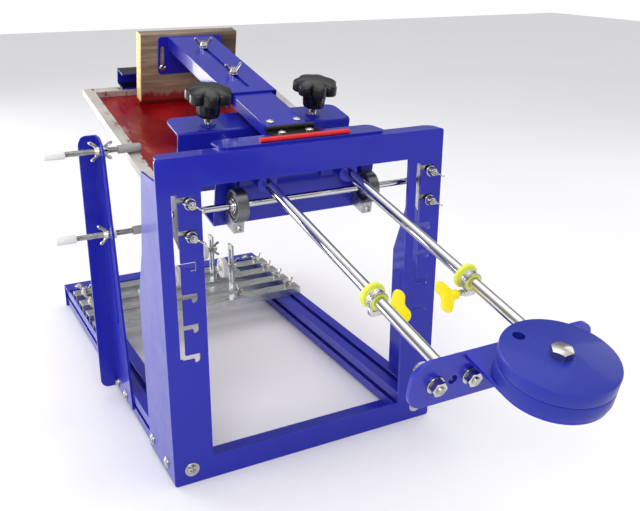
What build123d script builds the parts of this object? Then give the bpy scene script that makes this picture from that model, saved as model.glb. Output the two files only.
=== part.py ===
from build123d import *
import os
from math import cos, radians, sin

os.makedirs("parts", exist_ok=True)

# Manual cylinder screen press. X runs across the press, Y away from the operator, Z up.
# The origin is the middle of the portal's front edge, on the table.

# Portal and base
WIDTH = 380.0
HEIGHT = 418.0
SHEET = 3.0
LEG_WIDTH = 51.5
SILL_HEIGHT = 31.0
WINDOW_TOP = 382.5
TOP_FLANGE_DEPTH = 25.0
FLANGE_CORNER = 12.0
SIDE_FLANGE_TOP = 393.0
SIDE_FLANGE_DEPTH = 101.0
BOTTOM_FLANGE_DEPTH = 60.0
SLOT_WIDTH = 7.0
SLOT_BOTTOM = 173.5
SLOT_TOP = 376.0
HOOK_COUNT = 6
HOOK_PITCH = 38.8
HOOK_TOP = 372.5
HOOK_REACH = 18.0
HOOK_DROP = 8.8
LEFT_SLOT_X = -170.0
RIGHT_SLOT_X = 155.0
RAIL_WIDTH = 40.0
RAIL_HEIGHT = 35.0
RAIL_X = WIDTH / 2 - SHEET - RAIL_WIDTH / 2
RAIL_END = 627.8
RAIL_TOP = SHEET + RAIL_HEIGHT
GROOVE_Z = SHEET + RAIL_HEIGHT / 2
GROOVE_OPENING = 8.0
GROOVE_LIP = 3.5
GROOVE_POCKET_WIDTH = 16.0
GROOVE_POCKET_DEPTH = 6.0
ANGLE_DEPTH = 30.8

# Cross shaft and carriage. Carriage frame: x across, y along the rods, z square to them.
SHAFT_Y = 17.0
SHAFT_Z = 349.4
SHAFT_RADIUS = 4.0
SHAFT_LEFT = -168.0
SHAFT_RIGHT = 161.0
TILT = 12.0
ROD_Z = 372.7
ROD_X = 54.5
ROD_RADIUS = 6.0
ROD_FRONT = -362.0
ROD_REAR = 146.8
RUNNING_GAP = 0.05
BEAM_HALF = 107.5
BEAM_FRONT = 34.0
BEAM_DEPTH = 40.0
BEAM_TOP = 17.5
BEAM_BOTTOM = -65.0
BEARING_X = 88.0
BEARING_RADIUS = 20.0
BEARING_WIDTH = 14.0
SLEEVE_RADIUS = 12.0
SLEEVE_FRONT = 6.0
SLEEVE_REAR = 100.0
SLEEVE_FLANGE = (50.0, 26.0, 4.0)
SLEEVE_SCREW_X = 19.5
CLAMP_HALF = 121.8
CLAMP_FRONT = 126.8
CLAMP_REAR = 178.0
CLAMP_TOP = 17.5
CLAMP_BOTTOM = -67.3
KNOB_X = 75.0
KNOB_S = 148.0
STUD_RADIUS = 5.0
KNOB_BASE = 29.5
KNOB_HUB_HEIGHT = 20.0
KNOB_HEAD_HEIGHT = 20.0
KNOB_LOBES = 7
FRAME_HALF = 153.0
FRAME_FRONT = 130.0
FRAME_REAR = 485.0
FRAME_BAR = 16.0
FRAME_TOP = -54.0
FRAME_BOTTOM = -64.0
MESH_THICKNESS = 0.3

# Counterweight end
PLATE_FRONT = -368.0
PLATE_THICKNESS = 4.0
PLATE_HALF = 97.5
PLATE_TOP = 25.0
PLATE_BOTTOM = -23.0
TONGUE_HALF = 47.0
WEIGHT_S = -421.0
WEIGHT_RADIUS = 48.5
WEIGHT_THICKNESS = 13.0
SUPPORT = (48.0, 14.0)
SUPPORT_D = (-18.0, 10.0)
SUPPORT_BOLT = 18.0

# Squeegee arm frame: x across, y along the arm, z square to it
HINGE_Y = 58.0
HINGE_Z = 425.5
HINGE_HALF = 32.0
HINGE_SCREW_X = 18.3
HINGE_SCREW_Y = 41.0
LEAF_SHEET = 2.5
KNUCKLE = 12.4
KNUCKLE_PITCH = 12.9
KNUCKLE_RADIUS = 4.0
ARM_HALF = 28.3
ARM_SHEET = 2.5
ARM_BOLTS = (183.0, 299.0)
ARM_SLOT = (131.0, 305.0)
OUTER_HALF = 35.0
OUTER_FRONT = 113.5
ARM_END = 354.4
END_PLATE_HALF = 51.0
BOARD_HALF = 78.5
BOARD_THICKNESS = 20.0
BOARD_TOP = 8.0
BOARD_BOTTOM = -98.0
BLADE_BOTTOM = -103.3
BLADE_THICKNESS = 8.0
SQUEEGEE_SCREW = (44.5, -43.5)
SQUEEGEE_SLOT = 39.0

# Cradle
BAR_FRONTS = (400.0, 448.0, 496.0, 544.0)
BAR_DEPTH = 25.0
BAR_BASE = RAIL_TOP + 0.1
BAR_TOP = 51.0
BAR_HALF = 186.0
POST_X = 56.0
POST_TOPS = {"front": 150.0, "rear": 137.0}
POST_SLOT = 64.0
ROLLER_Z = 110.0
ROLLER_RADIUS = 17.5

# Side post
POST_SLOT_TOP = (245.5, 378.0)
POST_SLOT_BOTTOM = (225.0, 135.0)
POST_SLOT_WIDTH = 9.0
STOP_ROD_RADIUS = 4.0
TIP_RADIUS = 6.0
TIP_LENGTHS = (28.0, 32.0)
STOP_RODS = {"upper": (245.5, 376.2, -264.0, -134.5), "lower": (235.7, 262.5, -262.0, -125.0)}

LOW = (Align.CENTER, Align.CENTER, Align.MIN)
CARRIAGE = Location((0, 0, ROD_Z), (TILT, 0, 0))
ARM = Location((0, HINGE_Y, HINGE_Z), (TILT, 0, 0))
FORWARD = (90, 0, 0)
BACKWARD = (-90, 0, 0)
UP = (0, 0, 0)
DOWN = (180, 0, 0)
RIGHTWARD = (0, 90, 0)
LEFTWARD = (0, -90, 0)


def block(x, y, z, frame=Location(), mode=Mode.ADD):
    """A box between two limits on each axis of a frame."""
    centre = ((x[0] + x[1]) / 2, (y[0] + y[1]) / 2, (z[0] + z[1]) / 2)
    with Locations(frame * Location(centre)):
        Box(x[1] - x[0], y[1] - y[0], z[1] - z[0], mode=mode)


def pin(place, radius, length, mode=Mode.ADD):
    """A cylinder standing on a place and running along its z axis."""
    with Locations(place):
        Cylinder(radius, length, align=LOW, mode=mode)


def hexagon(place, across_flats, height):
    """A hexagonal head or nut standing on a place."""
    with BuildSketch(Plane(place)) as outline:
        RegularPolygon(across_flats / 2, 6, major_radius=False)
    extrude(outline.sketch, amount=height)


def flange(frame, half, y, z):
    """A level sheet flange with rounded far corners."""
    with BuildSketch(Plane(frame * Location((0, (y[0] + y[1]) / 2, z)))) as outline:
        Rectangle(2 * half, y[1] - y[0])
        fillet(outline.vertices().sort_by(Axis.Y)[-2:], FLANGE_CORNER)
    extrude(outline.sketch, amount=SHEET)


def pan_head(place, radius, height):
    """A low domed screw head."""
    with Locations(place):
        Cone(radius, radius * 0.72, height, align=LOW)


def wing_nut(place):
    """A wing nut of 28 mm span standing on a place."""
    with Locations(place):
        Cone(6.2, 4.6, 7.5, align=LOW)
    with BuildSketch(Plane(place * Location((0, 0, 0), FORWARD))) as wings:
        for side in (1, -1):
            points = [(2, 0.8), (6, 0.8), (12, 6.5), (14, 11), (13.2, 14), (10.8, 14), (8.5, 10.5), (2, 6)]
            Polygon(*[(side * px, py) for px, py in points], align=None)
    extrude(wings.sketch, amount=1.1, both=True)


def washered_screw(place, shank_radius, shank_length, washer_radius, head_radius):
    """A screw with a washer; the place is where the washer rests, z pointing out."""
    pin(place, washer_radius, 1.2)
    pan_head(place * Location((0, 0, 1.2)), head_radius, 3.0)
    pin(place * Location((0, 0, 0), DOWN), shank_radius, shank_length)


# ---------------------------------------------------------------- portal
HALF = WIDTH / 2
FACE_SCREW_X = RAIL_X
SIDE_SCREW_Y = (29.0, 88.0)
with BuildPart() as portal:
    with BuildSketch(Plane.XZ):
        with Locations((0, HEIGHT / 2)):
            RectangleRounded(WIDTH, HEIGHT, 4)
        with Locations((0, (SILL_HEIGHT + WINDOW_TOP) / 2)):
            Rectangle(WIDTH - 2 * LEG_WIDTH, WINDOW_TOP - SILL_HEIGHT, mode=Mode.SUBTRACT)
        for slot_x in (LEFT_SLOT_X, RIGHT_SLOT_X):
            with Locations((slot_x, (SLOT_BOTTOM + SLOT_TOP) / 2)):
                Rectangle(SLOT_WIDTH, SLOT_TOP - SLOT_BOTTOM, mode=Mode.SUBTRACT)
            for hook in range(HOOK_COUNT):
                hook_z = HOOK_TOP - hook * HOOK_PITCH
                with Locations((slot_x + HOOK_REACH / 2 + SLOT_WIDTH / 4, hook_z - SLOT_WIDTH / 2)):
                    Rectangle(HOOK_REACH + SLOT_WIDTH / 2, SLOT_WIDTH, mode=Mode.SUBTRACT)
                with Locations((slot_x + HOOK_REACH, hook_z - HOOK_DROP)):
                    Circle(SLOT_WIDTH / 2, mode=Mode.SUBTRACT)
                with Locations((slot_x + HOOK_REACH, hook_z - HOOK_DROP / 2 - 1)):
                    Rectangle(SLOT_WIDTH, HOOK_DROP - 2, mode=Mode.SUBTRACT)
        with Locations((-FACE_SCREW_X, GROOVE_Z), (FACE_SCREW_X, GROOVE_Z)):
            Circle(4, mode=Mode.SUBTRACT)
    extrude(amount=-SHEET)
    for inner in (-HALF, HALF - SHEET):
        with BuildSketch(Plane.YZ.offset(inner)):
            Polygon(
                (0, 4), (SIDE_FLANGE_DEPTH, 4), (SIDE_FLANGE_DEPTH, 222), (75, 289),
                (54, SIDE_FLANGE_TOP), (0, SIDE_FLANGE_TOP), align=None,
            )
            with Locations(*[(y, GROOVE_Z) for y in SIDE_SCREW_Y]):
                Circle(4, mode=Mode.SUBTRACT)
        extrude(amount=SHEET)
    flange(Location(), HALF - 4, (0, TOP_FLANGE_DEPTH), HEIGHT - SHEET)
    block((-HALF + 4, HALF - 4), (0, BOTTOM_FLANGE_DEPTH), (0, SHEET))
portal.part.label = "portal"
export_step(portal.part, "parts/portal.step")

with BuildPart() as hinge_plate:
    with BuildSketch(Plane.XY.offset(HEIGHT)):
        with Locations((0, 29.5)):
            RectangleRounded(218, 41, 10)
        with Locations((-HINGE_SCREW_X, HINGE_SCREW_Y), (HINGE_SCREW_X, HINGE_SCREW_Y)):
            Circle(2.5, mode=Mode.SUBTRACT)
    extrude(amount=SHEET)
hinge_plate.part.label = "hinge_plate"
export_step(hinge_plate.part, "parts/hinge_plate.step")

with BuildPart() as red_strip:
    block((-59, 59), (11, 19), (HEIGHT + SHEET, HEIGHT + SHEET + 6))
    fillet(red_strip.edges().filter_by(Axis.X), 2.5)
red_strip.part.label = "red_strip"
export_step(red_strip.part, "parts/red_strip.step")

# ---------------------------------------------------------------- base
with BuildPart() as base_rails:
    with BuildSketch(Plane.XZ.offset(-SHEET)):
        for side in (-1, 1):
            with Locations((side * RAIL_X, GROOVE_Z)):
                Rectangle(RAIL_WIDTH, RAIL_HEIGHT)
                Circle(4, mode=Mode.SUBTRACT)
            for turn, reach in ((0, RAIL_WIDTH / 2), (90, RAIL_HEIGHT / 2), (180, RAIL_WIDTH / 2)):
                with Locations(Location((side * RAIL_X, GROOVE_Z), turn) * Location((reach - 5, 0))):
                    Rectangle(10, GROOVE_OPENING, mode=Mode.SUBTRACT)
                depth = reach - GROOVE_LIP - GROOVE_POCKET_DEPTH / 2
                with Locations(Location((side * RAIL_X, GROOVE_Z), turn) * Location((depth, 0))):
                    Rectangle(GROOVE_POCKET_DEPTH, GROOVE_POCKET_WIDTH, mode=Mode.SUBTRACT)
    extrude(amount=-(RAIL_END - SHEET))
base_rails.part.label = "base_rails"
export_step(base_rails.part, "parts/base_rails.step")

REAR_SCREW_Y = 612.0
with BuildPart() as rear_angle:
    block((-HALF, HALF), (RAIL_END + SHEET - ANGLE_DEPTH, RAIL_END + SHEET), (RAIL_TOP, RAIL_TOP + SHEET))
    block((-HALF, HALF), (RAIL_END, RAIL_END + SHEET), (0, RAIL_TOP))
    for side in (-1, 1):
        pin(Location((side * RAIL_X, REAR_SCREW_Y, RAIL_TOP)), 3, SHEET, mode=Mode.SUBTRACT)
rear_angle.part.label = "rear_angle"
export_step(rear_angle.part, "parts/rear_angle.step")

POST_SCREW_Y = (218.0, 260.0)
with BuildPart() as side_post:
    with BuildSketch(Plane.YZ.offset(-HALF)):
        Polygon((186, 12), (272, 12), (272, 393), (232, 393), align=None)
        slot_middle = tuple((a + b) / 2 for a, b in zip(POST_SLOT_TOP, POST_SLOT_BOTTOM))
        half_run = tuple((a - b) / 2 for a, b in zip(POST_SLOT_TOP, POST_SLOT_BOTTOM))
        with Locations(slot_middle):
            SlotCenterPoint((0, 0), half_run, POST_SLOT_WIDTH, mode=Mode.SUBTRACT)
        with Locations(*[(y, GROOVE_Z) for y in POST_SCREW_Y]):
            Circle(3, mode=Mode.SUBTRACT)
    extrude(amount=SHEET)
    fillet(side_post.edges().filter_by(Axis.X).group_by(Axis.Z)[-1].sort_by(Axis.Y)[0], 28)
    with BuildSketch(Plane.XZ.offset(-(272 - SHEET))):
        Polygon((-213, 12), (-HALF + 1, 12), (-HALF + 1, 393), (-213, 393), align=None)
    extrude(amount=-SHEET)
    outer_corners = side_post.edges().filter_by(Axis.Y).group_by(Axis.X)[0]
    fillet(outer_corners, 12)
side_post.part.label = "side_post"
export_step(side_post.part, "parts/side_post.step")

# ---------------------------------------------------------------- shaft hangers
HANGERS = ((LEFT_SLOT_X + 2, 1), (RIGHT_SLOT_X + 3, 1))
BOLT_Z = [HOOK_TOP - HOOK_DROP - row * HOOK_PITCH for row in (0, 1)]
with BuildPart() as shaft_hangers:
    for slot_x in (LEFT_SLOT_X, RIGHT_SLOT_X):
        side_x = slot_x + 3
        block((side_x, side_x + 27), (SHEET, 2 * SHEET), (312, 374))
        with BuildSketch(Plane.YZ.offset(side_x)):
            Polygon((SHEET, 312), (30, 326), (30, 374), (SHEET, 374), align=None)
            with Locations((SHAFT_Y, SHAFT_Z)):
                Circle(SHAFT_RADIUS, mode=Mode.SUBTRACT)
        extrude(amount=SHEET)
        for bolt_z in BOLT_Z:
            spot = Location((slot_x + HOOK_REACH, SHEET, bolt_z), BACKWARD)
            pin(spot, 3, SHEET, mode=Mode.SUBTRACT)
shaft_hangers.part.label = "shaft_hangers"
export_step(shaft_hangers.part, "parts/shaft_hangers.step")

with BuildPart() as frame_wing_nuts:
    for slot_x in (LEFT_SLOT_X, RIGHT_SLOT_X):
        for bolt_z in BOLT_Z:
            front = Location((slot_x + HOOK_REACH, 0, bolt_z), FORWARD)
            pin(front, 7, 1.2)
            wing_nut(front * Location((0, 0, 1.2), (0, 0, -25)))
            back = Location((slot_x + HOOK_REACH, 2 * SHEET, bolt_z), BACKWARD)
            hexagon(back, 10, 4)
            pin(back * Location((0, 0, 0), DOWN), 3, 20)
    for rod_name, (rod_y, rod_z, rod_left, rod_right) in STOP_RODS.items():
        outer_face = Location((-HALF, rod_y, rod_z), LEFTWARD)
        inner_face = Location((-HALF + SHEET, rod_y, rod_z), RIGHTWARD)
        wing_nut(outer_face * Location((0, 0, 0), (0, 0, 20)))
        if rod_name == "upper":
            wing_nut(inner_face * Location((0, 0, 0), (0, 0, 15)))
        else:
            hexagon(inner_face, 13, 6.5)
        bore = Location((rod_left, rod_y, rod_z), RIGHTWARD)
        pin(bore, STOP_ROD_RADIUS + RUNNING_GAP, rod_right - rod_left, mode=Mode.SUBTRACT)
frame_wing_nuts.part.label = "frame_wing_nuts"
export_step(frame_wing_nuts.part, "parts/frame_wing_nuts.step")

with BuildPart() as cross_shaft:
    pin(Location((SHAFT_LEFT, SHAFT_Y, SHAFT_Z), RIGHTWARD), SHAFT_RADIUS, SHAFT_RIGHT - SHAFT_LEFT)
cross_shaft.part.label = "cross_shaft"
export_step(cross_shaft.part, "parts/cross_shaft.step")

with BuildPart() as frame_screws:
    for side in (-1, 1):
        washered_screw(Location((side * FACE_SCREW_X, 0, GROOVE_Z), FORWARD), 4, 16, 9.5, 6.5)
        outward = RIGHTWARD if side > 0 else LEFTWARD
        for screw_y in SIDE_SCREW_Y:
            washered_screw(Location((side * HALF, screw_y, GROOVE_Z), outward), 4, 6.5, 7.5, 5.5)
        washered_screw(Location((side * RAIL_X, REAR_SCREW_Y, RAIL_TOP + SHEET)), 3, 6.5, 7.5, 5.5)
        seat = Location((side * HINGE_SCREW_X, HINGE_SCREW_Y, HEIGHT + SHEET + LEAF_SHEET))
        pan_head(seat, 5.5, 2.8)
        pin(seat * Location((0, 0, 0), DOWN), 2.5, 9)
    for screw_y in POST_SCREW_Y:
        washered_screw(Location((-HALF, screw_y, GROOVE_Z), LEFTWARD), 3, 6.5, 7.5, 5.5)
frame_screws.part.label = "frame_screws"
export_step(frame_screws.part, "parts/frame_screws.step")

# ---------------------------------------------------------------- stop rods on the side post
for rod_name, (rod_y, rod_z, rod_left, rod_right) in STOP_RODS.items():
    with BuildPart() as stop_rod:
        start_x = rod_left + TIP_LENGTHS[0]
        thread_length = rod_right - TIP_LENGTHS[1] - start_x
        pin(Location((start_x, rod_y, rod_z), RIGHTWARD), STOP_ROD_RADIUS, thread_length)
    stop_rod.part.label = "stop_rod_" + rod_name
    export_step(stop_rod.part, "parts/stop_rod_" + rod_name + ".step")

    with BuildPart() as stop_tips:
        pin(Location((rod_left, rod_y, rod_z), RIGHTWARD), TIP_RADIUS, TIP_LENGTHS[0])
        pin(Location((rod_right - TIP_LENGTHS[1], rod_y, rod_z), RIGHTWARD), TIP_RADIUS, TIP_LENGTHS[1])
    stop_tips.part.label = "stop_tips_" + rod_name
    export_step(stop_tips.part, "parts/stop_tips_" + rod_name + ".step")

# ---------------------------------------------------------------- pivoting beam
SHAFT_S = SHAFT_Y * cos(radians(TILT)) + (SHAFT_Z - ROD_Z) * sin(radians(TILT))
SHAFT_D = -SHAFT_Y * sin(radians(TILT)) + (SHAFT_Z - ROD_Z) * cos(radians(TILT))
BEAM_X = (-BEAM_HALF, BEAM_HALF)
with BuildPart() as pivot_beam:
    block(BEAM_X, (BEAM_FRONT, BEAM_FRONT + SHEET), (BEAM_BOTTOM, BEAM_TOP), CARRIAGE)
    block(BEAM_X, (BEAM_FRONT, BEAM_FRONT + BEAM_DEPTH), (BEAM_TOP - SHEET, BEAM_TOP), CARRIAGE)
    block(BEAM_X, (BEAM_FRONT, BEAM_FRONT + BEAM_DEPTH), (BEAM_BOTTOM, BEAM_BOTTOM + SHEET), CARRIAGE)
    for side in (-1, 1):
        hole = CARRIAGE * Location((side * ROD_X, BEAM_FRONT, 0), BACKWARD)
        pin(hole, SLEEVE_RADIUS, SHEET, mode=Mode.SUBTRACT)
pivot_beam.part.label = "pivot_beam"
export_step(pivot_beam.part, "parts/pivot_beam.step")

with BuildPart() as rod_sleeves:
    for side in (-1, 1):
        start = CARRIAGE * Location((side * ROD_X, SLEEVE_FRONT, 0), BACKWARD)
        pin(start, SLEEVE_RADIUS, SLEEVE_REAR - SLEEVE_FRONT)
        across = (side * ROD_X - SLEEVE_FLANGE[0] / 2, side * ROD_X + SLEEVE_FLANGE[0] / 2)
        tall = (-SLEEVE_FLANGE[1] / 2, SLEEVE_FLANGE[1] / 2)
        block(across, (BEAM_FRONT - SLEEVE_FLANGE[2], BEAM_FRONT), tall, CARRIAGE)
        pin(start, ROD_RADIUS + RUNNING_GAP, SLEEVE_REAR - SLEEVE_FRONT, mode=Mode.SUBTRACT)
rod_sleeves.part.label = "rod_sleeves"
export_step(rod_sleeves.part, "parts/rod_sleeves.step")

with BuildPart() as bearings:
    for side in (-1, 1):
        bearing_plane = Plane(origin=(side * BEARING_X, SHAFT_Y, SHAFT_Z), x_dir=(1, 0, 0), z_dir=(0, -1, 0))
        with BuildSketch(bearing_plane):
            half_width = BEARING_WIDTH / 2
            bore = SHAFT_RADIUS + RUNNING_GAP
            Polygon(
                (-half_width - 2, bore), (half_width + 2, bore), (half_width + 2, 7.5), (half_width, 7.5),
                (half_width, 9.5), (half_width - 1.5, 9.5), (half_width - 1.5, 16.5), (half_width, 16.5),
                (half_width, BEARING_RADIUS), (-half_width, BEARING_RADIUS), (-half_width, 16.5),
                (1.5 - half_width, 16.5), (1.5 - half_width, 9.5), (-half_width, 9.5),
                (-half_width, 7.5), (-half_width - 2, 7.5), align=None,
            )
        revolve(axis=Axis((0, SHAFT_Y, SHAFT_Z), (1, 0, 0)))
bearings.part.label = "bearings"
export_step(bearings.part, "parts/bearings.step")

with BuildPart() as bearing_saddles:
    for side in (-1, 1):
        across = (side * BEARING_X - 6.5, side * BEARING_X + 6.5)
        block(across, (4, BEAM_FRONT), (-60, -38), CARRIAGE)
        ring = CARRIAGE * Location((side * BEARING_X - 10, SHAFT_S, SHAFT_D), RIGHTWARD)
        pin(ring, BEARING_RADIUS, 20, mode=Mode.SUBTRACT)
bearing_saddles.part.label = "bearing_saddles"
export_step(bearing_saddles.part, "parts/bearing_saddles.step")

with BuildPart() as beam_screws:
    for side in (-1, 1):
        pan_head(CARRIAGE * Location((side * BEARING_X, 4, -54), FORWARD), 3.8, 3)
        for offset in (-SLEEVE_SCREW_X, SLEEVE_SCREW_X):
            seat = Location((side * ROD_X + offset, BEAM_FRONT - SLEEVE_FLANGE[2], 0), FORWARD)
            pan_head(CARRIAGE * seat, 3.5, 2.5)
beam_screws.part.label = "beam_screws"
export_step(beam_screws.part, "parts/beam_screws.step")

# ---------------------------------------------------------------- sliding rods and screen clamp
with BuildPart() as guide_rods:
    for side in (-1, 1):
        start = CARRIAGE * Location((side * ROD_X, ROD_FRONT, 0), BACKWARD)
        pin(start, ROD_RADIUS, ROD_REAR - ROD_FRONT)
guide_rods.part.label = "guide_rods"
export_step(guide_rods.part, "parts/guide_rods.step")

CLAMP_X = (-CLAMP_HALF, CLAMP_HALF)
with BuildPart() as screen_clamp:
    block(CLAMP_X, (CLAMP_FRONT, CLAMP_FRONT + SHEET), (CLAMP_BOTTOM, CLAMP_TOP), CARRIAGE)
    for flange_d in (CLAMP_TOP - SHEET, CLAMP_BOTTOM):
        flange(CARRIAGE, CLAMP_HALF, (CLAMP_FRONT, CLAMP_REAR), flange_d)
    for side in (-1, 1):
        hole = CARRIAGE * Location((side * ROD_X, CLAMP_FRONT, 0), BACKWARD)
        pin(hole, ROD_RADIUS, SHEET, mode=Mode.SUBTRACT)
        pin(CARRIAGE * Location((side * KNOB_X, KNOB_S, CLAMP_TOP)), 10, 2)
        stud_hole = CARRIAGE * Location((side * KNOB_X, KNOB_S, CLAMP_TOP - SHEET))
        pin(stud_hole, STUD_RADIUS + RUNNING_GAP, SHEET + 2, mode=Mode.SUBTRACT)
screen_clamp.part.label = "screen_clamp"
export_step(screen_clamp.part, "parts/screen_clamp.step")

with BuildPart() as rod_supports:
    for side in (-1, 1):
        collar = CARRIAGE * Location((side * ROD_X, CLAMP_FRONT + SHEET, 0), BACKWARD)
        pin(collar, 14, 14)
        pin(collar, ROD_RADIUS, 14, mode=Mode.SUBTRACT)
        across = (side * ROD_X - SUPPORT[0] / 2, side * ROD_X + SUPPORT[0] / 2)
        rear = PLATE_FRONT + PLATE_THICKNESS + SUPPORT[1]
        block(across, (rear - SUPPORT[1], rear), SUPPORT_D, CARRIAGE)
        bore = CARRIAGE * Location((side * ROD_X, rear - SUPPORT[1], 0), BACKWARD)
        pin(bore, ROD_RADIUS, SUPPORT[1], mode=Mode.SUBTRACT)
        for offset in (-SUPPORT_BOLT, SUPPORT_BOLT):
            hole = CARRIAGE * Location((side * ROD_X + offset, rear - SUPPORT[1], 0), BACKWARD)
            pin(hole, 4, SUPPORT[1], mode=Mode.SUBTRACT)
rod_supports.part.label = "rod_supports"
export_step(rod_supports.part, "parts/rod_supports.step")

with BuildPart() as weight_bracket:
    with BuildSketch(Plane(CARRIAGE * Location((0, PLATE_FRONT, 0), FORWARD))):
        with Locations((0, (PLATE_TOP + PLATE_BOTTOM) / 2)):
            RectangleRounded(2 * PLATE_HALF, PLATE_TOP - PLATE_BOTTOM, 18)
        for side in (-1, 1):
            with Locations((side * ROD_X, 0)):
                Circle(4.5, mode=Mode.SUBTRACT)
            with Locations((side * ROD_X - SUPPORT_BOLT, 0), (side * ROD_X + SUPPORT_BOLT, 0)):
                Circle(4, mode=Mode.SUBTRACT)
    extrude(amount=-PLATE_THICKNESS)
    tongue_x = (-TONGUE_HALF, TONGUE_HALF)
    tongue_s = (WEIGHT_S, PLATE_FRONT + PLATE_THICKNESS)
    block(tongue_x, tongue_s, (PLATE_TOP - PLATE_THICKNESS, PLATE_TOP), CARRIAGE)
    tongue_end = CARRIAGE * Location((0, WEIGHT_S, PLATE_TOP - PLATE_THICKNESS))
    pin(tongue_end, TONGUE_HALF, PLATE_THICKNESS)
    pin(tongue_end, 5, PLATE_THICKNESS, mode=Mode.SUBTRACT)
weight_bracket.part.label = "weight_bracket"
export_step(weight_bracket.part, "parts/weight_bracket.step")

with BuildPart() as bracket_bolts:
    for side in (-1, 1):
        for offset in (-SUPPORT_BOLT, SUPPORT_BOLT):
            face = CARRIAGE * Location((side * ROD_X + offset, PLATE_FRONT, 0), FORWARD)
            pin(face, 8.5, 1.5)
            hexagon(face * Location((0, 0, 1.5)), 13, 6.5)
            shank = face * Location((0, 0, -PLATE_THICKNESS - SUPPORT[1]))
            pin(shank, 4, PLATE_THICKNESS + SUPPORT[1] + 10)
            hexagon(shank * Location((0, 0, 0), DOWN), 13, 5)
bracket_bolts.part.label = "bracket_bolts"
export_step(bracket_bolts.part, "parts/bracket_bolts.step")

with BuildPart() as counterweights:
    for layer in (0, 1):
        foot = CARRIAGE * Location((0, WEIGHT_S, PLATE_TOP + layer * WEIGHT_THICKNESS))
        with BuildSketch(Plane(foot)):
            Circle(WEIGHT_RADIUS)
            Circle(5, mode=Mode.SUBTRACT)
            with Locations((-16, 32)):
                Circle(5.5, mode=Mode.SUBTRACT)
        extrude(amount=WEIGHT_THICKNESS - 0.02)
counterweights.part.label = "counterweights"
export_step(counterweights.part, "parts/counterweights.step")

with BuildPart() as weight_bolt:
    crown = CARRIAGE * Location((0, WEIGHT_S, PLATE_TOP + 2 * WEIGHT_THICKNESS))
    hexagon(crown, 17, 6.4)
    pin(crown * Location((0, 0, 0), DOWN), 5, 61)
    under = CARRIAGE * Location((0, WEIGHT_S, PLATE_TOP - PLATE_THICKNESS), DOWN)
    hexagon(under, 17, 8)
weight_bolt.part.label = "weight_bolt"
export_step(weight_bolt.part, "parts/weight_bolt.step")

# ---------------------------------------------------------------- screen
with BuildPart() as screen_frame:
    outer_x = (-FRAME_HALF, FRAME_HALF)
    inner_x = (-FRAME_HALF + FRAME_BAR, FRAME_HALF - FRAME_BAR)
    height = (FRAME_BOTTOM, FRAME_TOP)
    block(outer_x, (FRAME_FRONT, FRAME_REAR), height, CARRIAGE)
    opening = (FRAME_FRONT + FRAME_BAR, FRAME_REAR - FRAME_BAR)
    block(inner_x, opening, height, CARRIAGE, mode=Mode.SUBTRACT)
screen_frame.part.label = "screen_frame"
export_step(screen_frame.part, "parts/screen_frame.step")

with BuildPart() as screen_mesh:
    mesh_x = (-FRAME_HALF + 1, FRAME_HALF - 1)
    mesh_s = (FRAME_FRONT + 1, FRAME_REAR - 1)
    block(mesh_x, mesh_s, (FRAME_BOTTOM - MESH_THICKNESS, FRAME_BOTTOM), CARRIAGE)
screen_mesh.part.label = "screen_mesh"
export_step(screen_mesh.part, "parts/screen_mesh.step")

PULL_X = (-94.0, 94.0)
PULL_S = (470.0, 500.0)
PULL_SHEET = 2.5
PULL_TOP = FRAME_TOP + 26.0
with BuildPart() as pull_bar:
    block(PULL_X, PULL_S, (FRAME_TOP, FRAME_TOP + PULL_SHEET), CARRIAGE)
    block(PULL_X, PULL_S, (PULL_TOP - PULL_SHEET, PULL_TOP), CARRIAGE)
    block(PULL_X, (PULL_S[1] - PULL_SHEET, PULL_S[1]), (FRAME_TOP, PULL_TOP), CARRIAGE)
pull_bar.part.label = "pull_bar"
export_step(pull_bar.part, "parts/pull_bar.step")

# ---------------------------------------------------------------- screen pressure bar and knobs
PRESS_TOP = FRAME_TOP + SHEET
with BuildPart() as press_bar:
    block((-105, 105), (133, 163), (FRAME_TOP, PRESS_TOP), CARRIAGE)
press_bar.part.label = "press_bar"
export_step(press_bar.part, "parts/press_bar.step")

for side_name, side in (("left", -1), ("right", 1)):
    with BuildPart() as knob:
        base = CARRIAGE * Location((side * KNOB_X, KNOB_S, KNOB_BASE))
        with Locations(base):
            Cone(14, 16, KNOB_HUB_HEIGHT, align=LOW)
        with BuildSketch(Plane(base * Location((0, 0, KNOB_HUB_HEIGHT)))):
            Circle(23)
            with PolarLocations(21.5, KNOB_LOBES):
                Circle(8.5)
        extrude(amount=KNOB_HEAD_HEIGHT)
    knob.part.label = "knob_" + side_name
    export_step(knob.part, "parts/knob_" + side_name + ".step")

    with BuildPart() as knob_stud:
        pin(CARRIAGE * Location((side * KNOB_X, KNOB_S, PRESS_TOP)), STUD_RADIUS, KNOB_BASE - PRESS_TOP)
    knob_stud.part.label = "knob_stud_" + side_name
    export_step(knob_stud.part, "parts/knob_stud_" + side_name + ".step")

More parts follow.
